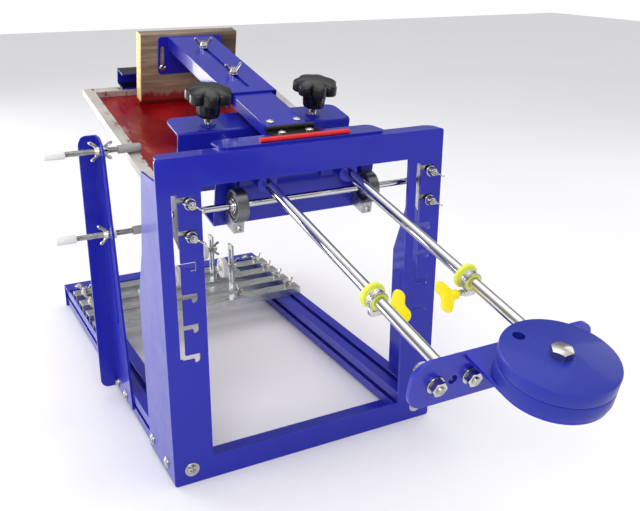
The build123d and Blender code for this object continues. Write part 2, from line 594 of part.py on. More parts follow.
# ---------------------------------------------------------------- rod stops
KEY_LOBE = 8.5
KEY_REACH = 15.5
STOPS = {"left": (-1, -236.0), "right": (1, -237.0)}
for side_name, (side, stop_s) in STOPS.items():
    with BuildPart() as stop_ring:
        ring = CARRIAGE * Location((side * ROD_X, stop_s + 2.5, 0), FORWARD)
        pin(ring, 13.5, 5)
        pin(ring, 9, 16)
        pin(ring, ROD_RADIUS + RUNNING_GAP, 16, mode=Mode.SUBTRACT)
    stop_ring.part.label = "stop_ring_" + side_name
    export_step(stop_ring.part, "parts/stop_ring_" + side_name + ".step")

    band_front = stop_s - 13.5
    with BuildPart() as stop_band:
        band = CARRIAGE * Location((side * ROD_X, band_front + 9, 0), FORWARD)
        pin(band, 11, 9)
        block((side * ROD_X - 7, side * ROD_X + 7), (band_front, band_front + 9), (-17, -9.5), CARRIAGE)
        pin(band, 9, 9, mode=Mode.SUBTRACT)
        inward = LEFTWARD if side > 0 else RIGHTWARD
        pin(CARRIAGE * Location((side * (ROD_X - 7), band_front + 4.5, -13.5), inward), 2.5, 6)
    stop_band.part.label = "stop_band_" + side_name
    export_step(stop_band.part, "parts/stop_band_" + side_name + ".step")

    with BuildPart() as stop_key:
        grip = CARRIAGE * Location((side * (ROD_X - 13), band_front + 4.5, -13.5), (40, 0, 0))
        with BuildSketch(Plane(grip)):
            with Locations((-side * KEY_REACH, -KEY_LOBE), (-side * KEY_REACH, KEY_LOBE)):
                Circle(KEY_LOBE)
            with Locations((-side * KEY_REACH / 2, 0)):
                Rectangle(KEY_REACH, 11)
        extrude(amount=2, both=True)
    stop_key.part.label = "stop_key_" + side_name
    export_step(stop_key.part, "parts/stop_key_" + side_name + ".step")

# ---------------------------------------------------------------- squeegee arm
def knuckles(frame, indices, radius, margin, mode):
    """Hinge knuckles at the given places along the hinge line."""
    for index in indices:
        middle = (index - 2) * KNUCKLE_PITCH
        start = frame * Location((middle - KNUCKLE / 2 - margin, 0, 0), RIGHTWARD)
        pin(start, radius, KNUCKLE + 2 * margin, mode=mode)


HINGE = Location((0, HINGE_Y, HINGE_Z))
with BuildPart() as hinge_fixed:
    block((-HINGE_HALF, HINGE_HALF), (30, HINGE_Y), (HEIGHT + SHEET, HEIGHT + SHEET + LEAF_SHEET))
    knuckles(HINGE, (1, 3), KNUCKLE_RADIUS + 0.5, 0.5, Mode.SUBTRACT)
    knuckles(HINGE, (0, 2, 4), KNUCKLE_RADIUS, 0, Mode.ADD)
    pin(Location((-HINGE_HALF, HINGE_Y, HINGE_Z), RIGHTWARD), 2, 2 * HINGE_HALF)
    for side in (-1, 1):
        leaf_hole = Location((side * HINGE_SCREW_X, HINGE_SCREW_Y, HEIGHT + SHEET))
        pin(leaf_hole, 2.5, LEAF_SHEET, mode=Mode.SUBTRACT)
hinge_fixed.part.label = "hinge_fixed"
export_step(hinge_fixed.part, "parts/hinge_fixed.step")

LEAF_LENGTH = 30.0
LEAF_HALF = ARM_HALF - ARM_SHEET - 0.1
LEAF_TOP = -1.0
LEAF_SCREW_A = 18.0
with BuildPart() as hinge_leaf:
    block((-LEAF_HALF, LEAF_HALF), (0, LEAF_LENGTH), (LEAF_TOP - LEAF_SHEET, LEAF_TOP), ARM)
    knuckles(ARM, (0, 2, 4), KNUCKLE_RADIUS + 0.5, 0.5, Mode.SUBTRACT)
    knuckles(ARM, (1, 3), KNUCKLE_RADIUS, 0, Mode.ADD)
    pin(ARM * Location((-HINGE_HALF, 0, 0), RIGHTWARD), 2.05, 2 * HINGE_HALF, mode=Mode.SUBTRACT)
    for side in (-1, 1):
        leaf_hole = ARM * Location((side * HINGE_SCREW_X, LEAF_SCREW_A, LEAF_TOP - LEAF_SHEET))
        pin(leaf_hole, 2.5, LEAF_SHEET, mode=Mode.SUBTRACT)
hinge_leaf.part.label = "hinge_leaf"
export_step(hinge_leaf.part, "parts/hinge_leaf.step")

ARM_TOP = LEAF_TOP + ARM_SHEET
ARM_FRONT = 6.0
ARM_REAR = 325.0
with BuildPart() as arm_inner:
    block((-ARM_HALF, ARM_HALF), (ARM_FRONT, ARM_REAR), (ARM_TOP - ARM_SHEET, ARM_TOP), ARM)
    for side in (-1, 1):
        wall = sorted((side * ARM_HALF, side * (ARM_HALF - ARM_SHEET)))
        block(wall, (ARM_FRONT, ARM_REAR), (ARM_TOP - 16, ARM_TOP), ARM)
        leaf_hole = ARM * Location((side * HINGE_SCREW_X, LEAF_SCREW_A, ARM_TOP - ARM_SHEET))
        pin(leaf_hole, 2.5, ARM_SHEET, mode=Mode.SUBTRACT)
    for bolt_a in ARM_BOLTS:
        pin(ARM * Location((0, bolt_a, ARM_TOP - ARM_SHEET)), 3, ARM_SHEET, mode=Mode.SUBTRACT)
arm_inner.part.label = "arm_inner"
export_step(arm_inner.part, "parts/arm_inner.step")

OUTER_BASE = ARM_TOP + 0.2
OUTER_TOP = OUTER_BASE + ARM_SHEET
with BuildPart() as arm_fasteners:
    for side in (-1, 1):
        seat = ARM * Location((side * HINGE_SCREW_X, LEAF_SCREW_A, ARM_TOP))
        pan_head(seat, 5.5, 2.8)
        pin(seat * Location((0, 0, 0), DOWN), 2.5, 9)
    for turn, bolt_a in zip((10, -5), ARM_BOLTS):
        root = ARM * Location((0, bolt_a, ARM_TOP - ARM_SHEET))
        pin(root * Location((0, 0, 0), DOWN), 6, 3)
        pin(root, 3, 15)
        washer = ARM * Location((0, bolt_a, OUTER_TOP + 0.1))
        pin(washer, 7, 1.2)
        wing_nut(washer * Location((0, 0, 1.2), (0, 0, turn)))
arm_fasteners.part.label = "arm_fasteners"
export_step(arm_fasteners.part, "parts/arm_fasteners.step")

with BuildPart() as arm_outer:
    block((-OUTER_HALF, OUTER_HALF), (OUTER_FRONT, ARM_END), (OUTER_BASE, OUTER_TOP), ARM)
    for side in (-1, 1):
        wall = sorted((side * OUTER_HALF, side * (OUTER_HALF - ARM_SHEET)))
        block(wall, (OUTER_FRONT, ARM_END), (OUTER_TOP - 20, OUTER_TOP), ARM)
    with BuildSketch(Plane(ARM * Location((0, ARM_END, 0), FORWARD))):
        with Locations((0, (OUTER_TOP - 54) / 2)):
            RectangleRounded(2 * END_PLATE_HALF, 54 + OUTER_TOP, 6)
        for side in (-1, 1):
            with Locations((side * SQUEEGEE_SCREW[0], SQUEEGEE_SCREW[1] + 14)):
                SlotOverall(SQUEEGEE_SLOT, 6.4, rotation=90, mode=Mode.SUBTRACT)
    extrude(amount=-SHEET)
    slot_middle_a = (ARM_SLOT[0] + ARM_SLOT[1]) / 2
    with BuildSketch(Plane(ARM * Location((0, slot_middle_a, OUTER_BASE)))):
        SlotOverall(ARM_SLOT[1] - ARM_SLOT[0], 7.2, rotation=90)
    extrude(amount=ARM_SHEET, mode=Mode.SUBTRACT)
arm_outer.part.label = "arm_outer"
export_step(arm_outer.part, "parts/arm_outer.step")

# ---------------------------------------------------------------- squeegee
BOARD_FRONT = ARM_END + SHEET + 0.05
BLADE_FRONT = BOARD_FRONT + (BOARD_THICKNESS - BLADE_THICKNESS) / 2
BLADE_A = (BLADE_FRONT, BLADE_FRONT + BLADE_THICKNESS)
BLADE_H = (BLADE_BOTTOM, BOARD_BOTTOM + 12)
BOARD_X = (-BOARD_HALF, BOARD_HALF)
with BuildPart() as squeegee_board:
    block(BOARD_X, (BOARD_FRONT, BOARD_FRONT + BOARD_THICKNESS), (BOARD_BOTTOM, BOARD_TOP), ARM)
    fillet(squeegee_board.edges().filter_by(Axis.X).group_by(Axis.Z)[-1], 2)
    block(BOARD_X, BLADE_A, (BOARD_BOTTOM, BLADE_H[1]), ARM, mode=Mode.SUBTRACT)
    for side in (-1, 1):
        spot = Location((side * SQUEEGEE_SCREW[0], BOARD_FRONT, SQUEEGEE_SCREW[1]), BACKWARD)
        pin(ARM * spot, 2.5, 12, mode=Mode.SUBTRACT)
squeegee_board.part.label = "squeegee_board"
export_step(squeegee_board.part, "parts/squeegee_board.step")

with BuildPart() as squeegee_blade:
    block(BOARD_X, BLADE_A, BLADE_H, ARM)
squeegee_blade.part.label = "squeegee_blade"
export_step(squeegee_blade.part, "parts/squeegee_blade.step")

with BuildPart() as squeegee_screws:
    for side in (-1, 1):
        seat = ARM * Location((side * SQUEEGEE_SCREW[0], ARM_END - 0.1, SQUEEGEE_SCREW[1]), FORWARD)
        pan_head(seat, 5, 2.8)
        pin(seat * Location((0, 0, 0), DOWN), 2.5, 15)
squeegee_screws.part.label = "squeegee_screws"
export_step(squeegee_screws.part, "parts/squeegee_screws.step")

# ---------------------------------------------------------------- cradle
def crossbar(front):
    """A zinc channel lying across the rails, open side down."""
    block((-BAR_HALF, BAR_HALF), (front, front + BAR_DEPTH), (BAR_BASE, BAR_TOP))
    inside = (front + 2, front + BAR_DEPTH - 2)
    block((-BAR_HALF, BAR_HALF), inside, (BAR_BASE, BAR_TOP - 2), mode=Mode.SUBTRACT)
    for side in (-1, 1):
        seat = Location((side * RAIL_X, front + BAR_DEPTH / 2, BAR_TOP - 2))
        pin(seat, 3, 2, mode=Mode.SUBTRACT)


def crossbar_bolts(front):
    """Two wing bolts whose square nuts sit in the rails' top grooves."""
    for side in (-1, 1):
        middle_y = front + BAR_DEPTH / 2
        pocket = RAIL_TOP - GROOVE_LIP - GROOVE_POCKET_DEPTH
        nut_x = (side * RAIL_X - 6.5, side * RAIL_X + 6.5)
        block(nut_x, (middle_y - 6.5, middle_y + 6.5), (pocket + 1.2, pocket + 5.2))
        pin(Location((side * RAIL_X, middle_y, pocket + 1.2)), 3, 31)
        pin(Location((side * RAIL_X, middle_y, BAR_TOP)), 7, 1.2)
        wing_nut(Location((side * RAIL_X, middle_y, BAR_TOP + 1.2), (0, 0, side * 25)))


def roller_posts(front, top):
    """Two zinc roller posts with their feet on a crossbar."""
    middle_y = front + BAR_DEPTH / 2
    for side in (-1, 1):
        upright = sorted((side * POST_X, side * (POST_X + 3)))
        foot = sorted((side * POST_X, side * (POST_X + 26)))
        block(upright, (middle_y - 10, middle_y + 10), (BAR_TOP, top))
        block(foot, (middle_y - 10, middle_y + 10), (BAR_TOP, BAR_TOP + 2.5))
        with BuildSketch(Plane.YZ.offset(min(upright))) as post_slot:
            with Locations((middle_y, top - 8 - POST_SLOT / 2)):
                SlotOverall(POST_SLOT, 6.8, rotation=90)
        extrude(post_slot.sketch, amount=3, mode=Mode.SUBTRACT)
        pin(Location((side * (POST_X + 16), middle_y, BAR_TOP)), 3, 2.5, mode=Mode.SUBTRACT)


def post_screws(front):
    """Wing screws holding the post feet on a crossbar."""
    for side in (-1, 1):
        seat = Location((side * (POST_X + 16), front + BAR_DEPTH / 2, BAR_TOP + 2.5))
        pin(seat, 5.5, 1.2)
        wing_nut(seat * Location((0, 0, 1.2), (0, 0, 90)))
        pin(seat * Location((0, 0, 0), DOWN), 3, 2.5)
        pin(seat, 3, 12)


def roller_axles(front):
    """Axle bolts clamped in the posts' slots by wing nuts."""
    middle_y = front + BAR_DEPTH / 2
    for side in (-1, 1):
        outward = RIGHTWARD if side > 0 else LEFTWARD
        pin(Location((side * 34, middle_y, ROLLER_Z), outward), 3, 34)
        hexagon(Location((side * 33, middle_y, ROLLER_Z), outward), 8, 3.5)
        pin(Location((side * 47, middle_y, ROLLER_Z), outward), 5, POST_X - 47 - 0.1)
        wing_nut(Location((side * (POST_X + 3.1), middle_y, ROLLER_Z), outward))


def rollers(front):
    """Two nylon rollers with rounded rims, running on the axle bolts."""
    middle_y = front + BAR_DEPTH / 2
    for side in (-1, 1):
        outward = RIGHTWARD if side > 0 else LEFTWARD
        inner_face = Location((side * 37, middle_y, ROLLER_Z), outward)
        pin(inner_face, ROLLER_RADIUS, 9.5)
        pin(inner_face, 3 + RUNNING_GAP, 9.5, mode=Mode.SUBTRACT)


for row_name, row in (("front", 0), ("rear", 2)):
    bar_front = BAR_FRONTS[row]
    with BuildPart() as bar:
        crossbar(bar_front)
        for side in (-1, 1):
            foot_hole = Location((side * (POST_X + 16), bar_front + BAR_DEPTH / 2, BAR_TOP - 2))
            pin(foot_hole, 3, 2, mode=Mode.SUBTRACT)
    bar.part.label = "crossbar_" + row_name
    export_step(bar.part, "parts/crossbar_" + row_name + ".step")

    with BuildPart() as bar_bolts:
        crossbar_bolts(bar_front)
        post_screws(bar_front)
    bar_bolts.part.label = "crossbar_bolts_" + row_name
    export_step(bar_bolts.part, "parts/crossbar_bolts_" + row_name + ".step")

    with BuildPart() as posts:
        roller_posts(bar_front, POST_TOPS[row_name])
    posts.part.label = "roller_posts_" + row_name
    export_step(posts.part, "parts/roller_posts_" + row_name + ".step")

    with BuildPart() as axles:
        roller_axles(bar_front)
    axles.part.label = "roller_axles_" + row_name
    export_step(axles.part, "parts/roller_axles_" + row_name + ".step")

    with BuildPart() as wheels:
        rollers(bar_front)
    wheels.part.label = "rollers_" + row_name
    export_step(wheels.part, "parts/rollers_" + row_name + ".step")

with BuildPart() as crossbars_spare:
    for row in (1, 3):
        crossbar(BAR_FRONTS[row])
crossbars_spare.part.label = "crossbars_spare"
export_step(crossbars_spare.part, "parts/crossbars_spare.step")

with BuildPart() as crossbar_bolts_spare:
    for row in (1, 3):
        crossbar_bolts(BAR_FRONTS[row])
crossbar_bolts_spare.part.label = "crossbar_bolts_spare"
export_step(crossbar_bolts_spare.part, "parts/crossbar_bolts_spare.step")
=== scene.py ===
import math

import bmesh
import bpy
from mathutils import Matrix, Vector, noise


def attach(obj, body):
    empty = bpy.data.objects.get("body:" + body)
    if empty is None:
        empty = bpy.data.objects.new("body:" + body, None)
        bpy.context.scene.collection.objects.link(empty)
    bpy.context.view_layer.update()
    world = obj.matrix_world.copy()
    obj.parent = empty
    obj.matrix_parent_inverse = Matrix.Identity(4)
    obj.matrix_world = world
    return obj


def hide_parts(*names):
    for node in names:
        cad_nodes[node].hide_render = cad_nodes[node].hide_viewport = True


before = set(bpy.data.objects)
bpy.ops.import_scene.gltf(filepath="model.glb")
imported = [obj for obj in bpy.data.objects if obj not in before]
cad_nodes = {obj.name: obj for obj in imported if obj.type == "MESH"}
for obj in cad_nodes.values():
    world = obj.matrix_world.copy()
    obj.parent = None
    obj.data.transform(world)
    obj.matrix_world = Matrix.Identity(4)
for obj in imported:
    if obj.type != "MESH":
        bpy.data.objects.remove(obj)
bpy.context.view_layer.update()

# Everything is built in millimetres in the CAD's own frames, and scaled to metres in a mesh.
MM = 0.001
TILT = math.radians(12)


def turned(x=0.0, y=0.0, z=0.0):
    """A rotation about X, then Y, then Z, in degrees."""
    angles = [math.radians(a) for a in (x, y, z)]
    return (
        Matrix.Rotation(angles[2], 4, "Z")
        @ Matrix.Rotation(angles[1], 4, "Y")
        @ Matrix.Rotation(angles[0], 4, "X")
    )


def at(x=0.0, y=0.0, z=0.0, facing=None):
    """A place, with its z axis facing one of the directions below."""
    return Matrix.Translation((x, y, z)) @ (facing or UP)


UP = Matrix.Identity(4)
DOWN = turned(x=180)
FORWARD = turned(x=90)
BACKWARD = turned(x=-90)
RIGHTWARD = turned(y=90)
LEFTWARD = turned(y=-90)

# Driving dimensions, the same as the CAD's. The carriage and the arm have their own tilted frames,
# whose y runs along the guide rods and along the arm; a name that ends in S is a carriage's y.
CARRIAGE = Matrix.Translation((0, 0, 372.7)) @ Matrix.Rotation(TILT, 4, "X")
ARM_Y, ARM_Z = 58.0, 425.5
ARM = Matrix.Translation((0, ARM_Y, ARM_Z)) @ Matrix.Rotation(TILT, 4, "X")
# Thread radii, a little under size to clear their holes and nuts
M6, M8, M10 = 2.95, 3.95, 4.95
PORTAL_HALF, PORTAL_TOP = 190.0, 418.0
SHAFT_Y, SHAFT_Z = 17.0, 349.4
BEARING_X = 88.0
ROD_X = 54.5
ROD_FRONT, ROD_LENGTH = -362.0, 508.8
BRACKET_FACE = -368.0
WEIGHT_S, WEIGHT_FOOT, WEIGHT_STEP, WEIGHT_RADIUS = -421.0, 25.0, 13.0, 48.5
KNOB_X, KNOB_S, KNOB_BASE = 75.0, 148.0, 29.5
HINGE_SCREW_X = 18.3
HOOK_SLOTS = (-170.0, 155.0)
HOOK_REACH = 18.0
BOLT_Z = (363.7, 324.9)
RAIL_X = 167.0
GROOVE_Z = 20.5
SIDE_POST_OUTER, SIDE_POST_INNER = -190.0, -187.0
# Each stop rod's y, z, left end and right end
STOP_RODS = {"upper": (245.5, 376.2, -264.0, -134.5), "lower": (235.7, 262.5, -262.0, -125.0)}
TIP_LENGTHS = (28.0, 32.0)
BAR_FRONTS = (400.0, 448.0, 496.0, 544.0)
BAR_HALF = 12.5
BAR_TOP = 51.0
POST_X = 56.0
ROLLER_Z = 110.0
FRAME_HALF = 153.0
FRAME_FRONT, FRAME_REAR = 130.0, 485.0
FRAME_BOTTOM = -64.0
BOARD_HALF = 78.5
BOARD_FRONT, BOARD_REAR = 357.45, 377.45
BOARD_TOP, BOARD_BOTTOM = 8.0, -98.0


# ------------------------------------------------------------------ materials
def socket(value):
    return (*value, 1.0) if isinstance(value, (tuple, list)) and len(value) == 3 else value


class Paint:
    """A node material: a Principled shader and short helpers for its procedural inputs."""

    def __init__(self, name, **inputs):
        self.material = bpy.data.materials.new(name)
        self.material.use_nodes = True
        self.nodes = self.material.node_tree.nodes
        self.links = self.material.node_tree.links
        self.shader = self.nodes["Principled BSDF"]
        for key, value in inputs.items():
            self.shader.inputs[key.replace("_", " ")].default_value = socket(value)

    def node(self, kind, **values):
        made = self.nodes.new(kind)
        for key, value in values.items():
            if hasattr(made, key):
                setattr(made, key, value)
            else:
                made.inputs[key.replace("_", " ")].default_value = value
        return made

    def link(self, source, target):
        self.links.new(source, target)

    def space(self, scale=(1, 1, 1)):
        """Object coordinates, stretched by scale."""
        coords = self.node("ShaderNodeTexCoord")
        mapping = self.node("ShaderNodeMapping")
        mapping.inputs["Scale"].default_value = scale
        self.link(coords.outputs["Object"], mapping.inputs["Vector"])
        return mapping.outputs["Vector"]

    def noise(self, scale, detail=4.0, stretch=(1, 1, 1), rough=0.55, distortion=0.0):
        made = self.node("ShaderNodeTexNoise", Scale=scale, Detail=detail, Roughness=rough,
                         Distortion=distortion)
        self.link(self.space(stretch), made.inputs["Vector"])
        return made.outputs["Fac"]

    def span(self, value, low, high, to_low, to_high, smooth=True):
        """A value mapped from one range to another and held at its ends."""
        made = self.node("ShaderNodeMapRange")
        made.interpolation_type = "SMOOTHSTEP" if smooth else "LINEAR"
        for key, number in zip(("From Min", "From Max", "To Min", "To Max"),
                               (low, high, to_low, to_high)):
            made.inputs[key].default_value = number
        self.link(value, made.inputs["Value"])
        return made.outputs["Result"]

    def maths(self, operation, a, b):
        made = self.node("ShaderNodeMath", operation=operation)
        for slot, value in enumerate((a, b)):
            if isinstance(value, (int, float)):
                made.inputs[slot].default_value = value
            else:
                self.link(value, made.inputs[slot])
        return made.outputs[0]

    def mix(self, factor, first, second):
        """Colours mixed by a factor; each is a colour or another node's output."""
        made = self.node("ShaderNodeMix", data_type="RGBA")
        self.link(factor, made.inputs["Factor"])
        for slot, value in ((6, first), (7, second)):
            if isinstance(value, tuple):
                made.inputs[slot].default_value = socket(value)
            else:
                self.link(value, made.inputs[slot])
        return made.outputs[2]

    def edges(self, radius):
        """One along sharp edges and zero on open faces."""
        bevel = self.node("ShaderNodeBevel", Radius=radius)
        bevel.samples = 4
        geometry = self.node("ShaderNodeNewGeometry")
        dot = self.node("ShaderNodeVectorMath", operation="DOT_PRODUCT")
        self.link(bevel.outputs["Normal"], dot.inputs[0])
        self.link(geometry.outputs["Normal"], dot.inputs[1])
        return self.span(dot.outputs["Value"], 0.995, 0.8, 0.0, 1.0)

    def separate(self):
        """Object position as x, y and z in metres."""
        made = self.node("ShaderNodeSeparateXYZ")
        self.link(self.space(), made.inputs["Vector"])
        return made.outputs

    def colour(self, value):
        self.link(value, self.shader.inputs["Base Color"])

    def roughness(self, value):
        self.link(value, self.shader.inputs["Roughness"])

    def bump(self, *layers):
        """Bump from (height, strength, distance) layers, one on another."""
        last = None
        for height, strength, distance in layers:
            made = self.node("ShaderNodeBump", Strength=strength, Distance=distance)
            self.link(height, made.inputs["Height"])
            if last:
                self.link(last, made.inputs["Normal"])
            last = made.outputs["Normal"]
        self.link(last, self.shader.inputs["Normal"])


def powder_coat(name, colour, edge_highlight=(0.09, 0.09, 0.75), gloss=0.34, coat=0.7):
    """Gloss powder coat: faint orange peel, cloudy roughness, a painted highlight in a lighter
    colour along the edges.
    """
    paint = Paint(name, Base_Color=colour, Roughness=gloss, Coat_Weight=coat, Coat_Roughness=0.1,
                  IOR=1.3, Coat_IOR=1.32)
    peel = paint.noise(420.0, 2.0)
    cloud = paint.noise(9.0, 5.0)
    speck = paint.noise(1500.0, 1.0)
    darker = tuple(c * 0.93 for c in colour)
    body = paint.mix(paint.span(cloud, 0.35, 0.68, 0.0, 1.0), darker, colour)
    # Painted highlight: sharp edges, found by the Bevel node and broken up by noise, take a lighter
    # colour.
    edge = paint.maths("MULTIPLY", paint.edges(0.0011),
                       paint.span(paint.noise(60.0, 3.0), 0.35, 0.75, 0.15, 0.75))
    paint.colour(paint.mix(edge, body, edge_highlight))
    paint.roughness(paint.span(paint.noise(24.0, 6.0), 0.3, 0.75, gloss - 0.04, gloss + 0.07))
    paint.bump((peel, 0.06, 0.0003), (speck, 0.04, 0.0001))
    return paint.material


def bare_metal(name, colour, rough, stretch=(1, 1, 1), grain=900.0, dull=0.8, scratch=0.06):
    """Bare or plated metal: directional grain, patches of dullness and darker tarnish."""
    paint = Paint(name, Base_Color=colour, Metallic=1.0, Roughness=rough)
    patches = paint.span(paint.noise(45.0, 5.0), 0.35, 0.7, 0.0, 1.0)
    paint.colour(paint.mix(patches, colour, tuple(c * dull for c in colour)))
    grains = paint.noise(grain, 3.0, stretch)
    paint.roughness(paint.span(grains, 0.3, 0.7, rough * 0.75, rough * 1.35))
    paint.bump((grains, scratch, 0.0002))
    return paint.material


def moulded(name, colour, rough=0.42, grain=0.1, soft=0.0, tint=0.82):
    """Moulded plastic or rubber with a fine skin and slight unevenness."""
    paint = Paint(name, Base_Color=colour, Roughness=rough, Subsurface_Weight=soft,
                  Subsurface_Scale=0.004)
    cloud = paint.span(paint.noise(30.0, 4.0), 0.3, 0.7, 0.0, 1.0)
    paint.colour(paint.mix(cloud, tuple(c * tint for c in colour), colour))
    paint.roughness(paint.span(paint.noise(70.0, 5.0), 0.3, 0.7, rough - 0.08, rough + 0.12))
    paint.bump((paint.noise(1300.0, 2.0), grain, 0.0003), (paint.noise(90.0, 3.0), grain, 0.0006))
    return paint.material


def board_wood():
    """Varnished plywood board: grain along X, dark pores, red ink soaked into its lower edge."""
    paint = Paint("wood", Base_Color=(0.42, 0.27, 0.15), Roughness=0.5, Coat_Weight=0.15,
                  Coat_Roughness=0.3)
    wave = paint.node("ShaderNodeTexWave", Scale=22.0, Distortion=14.0, Detail=4.0,
                      bands_direction="Z")
    wave.inputs["Detail Scale"].default_value = 1.4
    paint.link(paint.space((0.14, 1.0, 1.0)), wave.inputs["Vector"])
    streak = paint.noise(260.0, 6.0, (0.05, 1.0, 1.0), 0.65)
    pores = paint.noise(900.0, 3.0, (0.03, 1.0, 1.0), 0.6)
    tone = paint.mix(paint.span(wave.outputs["Fac"], 0.1, 0.9, 0.0, 1.0), (0.235, 0.165, 0.105),
                     (0.33, 0.24, 0.155))
    tone = paint.mix(paint.span(streak, 0.35, 0.7, 0.0, 0.75), tone, (0.15, 0.10, 0.062))
    tone = paint.mix(paint.span(pores, 0.62, 0.72, 0.0, 0.6), tone, (0.1, 0.06, 0.04))
    y, z = paint.separate()[1:]
    height = paint.maths("SUBTRACT", z, paint.maths("MULTIPLY", y, math.tan(TILT)))
    drip = paint.noise(60.0, 5.0, (1.0, 1.0, 0.35), 0.6)
    level = paint.maths("ADD", height, paint.maths("MULTIPLY", drip, -0.034))
    foot = INK_LINE - 0.008
    wet = paint.span(level, foot + 0.006, foot - 0.003, 0.0, 1.0)
    film = paint.span(level, foot + 0.022, foot - 0.004, 0.0, 0.55)
    splash = paint.span(paint.noise(210.0, 3.0), 0.64, 0.69, 0.0, 0.8)
    lowest = paint.span(level, foot + 0.03, foot + 0.004, 0.0, 1.0)
    tone = paint.mix(film, tone, (0.24, 0.07, 0.045))
    tone = paint.mix(paint.maths("MULTIPLY", splash, lowest), tone, (0.2, 0.006, 0.008))
    paint.colour(paint.mix(wet, tone, (0.22, 0.004, 0.006)))
    paint.roughness(paint.span(streak, 0.3, 0.7, 0.38, 0.6))
    paint.bump((streak, 0.25, 0.0004), (pores, 0.2, 0.0002))
    return paint.material


def edge_wood():
    """The board's sawn ends: pale and fuzzy."""
    paint = Paint("wood_end", Base_Color=(0.82, 0.62, 0.30), Roughness=0.7)
    layers = paint.noise(300.0, 4.0, (1.0, 0.1, 1.0), 0.6)
    paint.colour(paint.mix(paint.span(layers, 0.35, 0.7, 0.0, 1.0), (0.98, 0.76, 0.36),
                           (0.78, 0.55, 0.24)))
    paint.bump((layers, 0.3, 0.0004))
    return paint.material


def inked_mesh():
    """Stretched polyester mesh, flooded with dark red ink and rubbed thinner in streaks."""
    paint = Paint("mesh_red", Base_Color=(0.24, 0.002, 0.004), Roughness=0.25, IOR=1.35)
    streak = paint.noise(26.0, 6.0, (1.0, 0.16, 1.0), 0.6)
    cloud = paint.noise(11.0, 4.0)
    tone = paint.mix(paint.span(streak, 0.35, 0.7, 0.0, 1.0), (0.16, 0.001, 0.003),
                     (0.30, 0.002, 0.005))
    tone = paint.mix(paint.span(cloud, 0.45, 0.75, 0.0, 0.7), tone, (0.40, 0.004, 0.008))
    x, y = paint.separate()[:2]
    warp = paint.maths("SINE", paint.maths("MULTIPLY", x, 5200.0), 0.0)
    weft = paint.maths("SINE", paint.maths("MULTIPLY", y, 5200.0), 0.0)
    weave = paint.maths("MULTIPLY", warp, weft)
    rubbed = paint.span(paint.noise(34.0, 6.0, (1.0, 0.35, 1.0), 0.65), 0.52, 0.6, 0.0, 0.75)
    beside = paint.span(x, -0.108, -0.128, 0.0, 1.0)
    tone = paint.mix(paint.maths("MULTIPLY", rubbed, beside), tone, (0.46, 0.16, 0.17))
    paint.colour(tone)
    paint.roughness(paint.span(paint.noise(38.0, 5.0, (1.0, 0.3, 1.0)), 0.3, 0.75, 0.12, 0.55))
    paint.bump((weave, 0.12, 0.0001), (paint.noise(180.0, 4.0), 0.2, 0.0005))
    return paint.material


def smeared_aluminium():
    """Bare aluminium tube: drawn grain, water marks and red ink rubbed on its inner edge."""
    paint = Paint("aluminium", Base_Color=(0.56, 0.53, 0.49), Metallic=0.55, Roughness=0.5)
    grain = paint.noise(700.0, 3.0, (1.0, 0.03, 1.0))
    cloud = paint.noise(14.0, 6.0)
    tone = paint.mix(paint.span(cloud, 0.35, 0.7, 0.0, 1.0), (0.60, 0.57, 0.53), (0.42, 0.40, 0.37))
    side = paint.maths("ABSOLUTE", paint.separate()[0], 0.0)
    inner = paint.span(side, 0.148, 0.138, 0.0, 1.0)
    smear = paint.span(paint.noise(95.0, 5.0, (1.0, 0.45, 1.0), 0.65), 0.56, 0.62, 0.0, 1.0)
    mask = paint.maths("MULTIPLY", inner, smear)
    paint.colour(paint.mix(mask, tone, (0.30, 0.012, 0.016)))
    paint.link(paint.span(mask, 0.0, 1.0, 0.55, 0.0), paint.shader.inputs["Metallic"])
    paint.roughness(paint.span(grain, 0.3, 0.7, 0.42, 0.6))
    paint.bump((grain, 0.1, 0.0002))
    return paint.material


BLUE = (0.010, 0.014, 0.36)
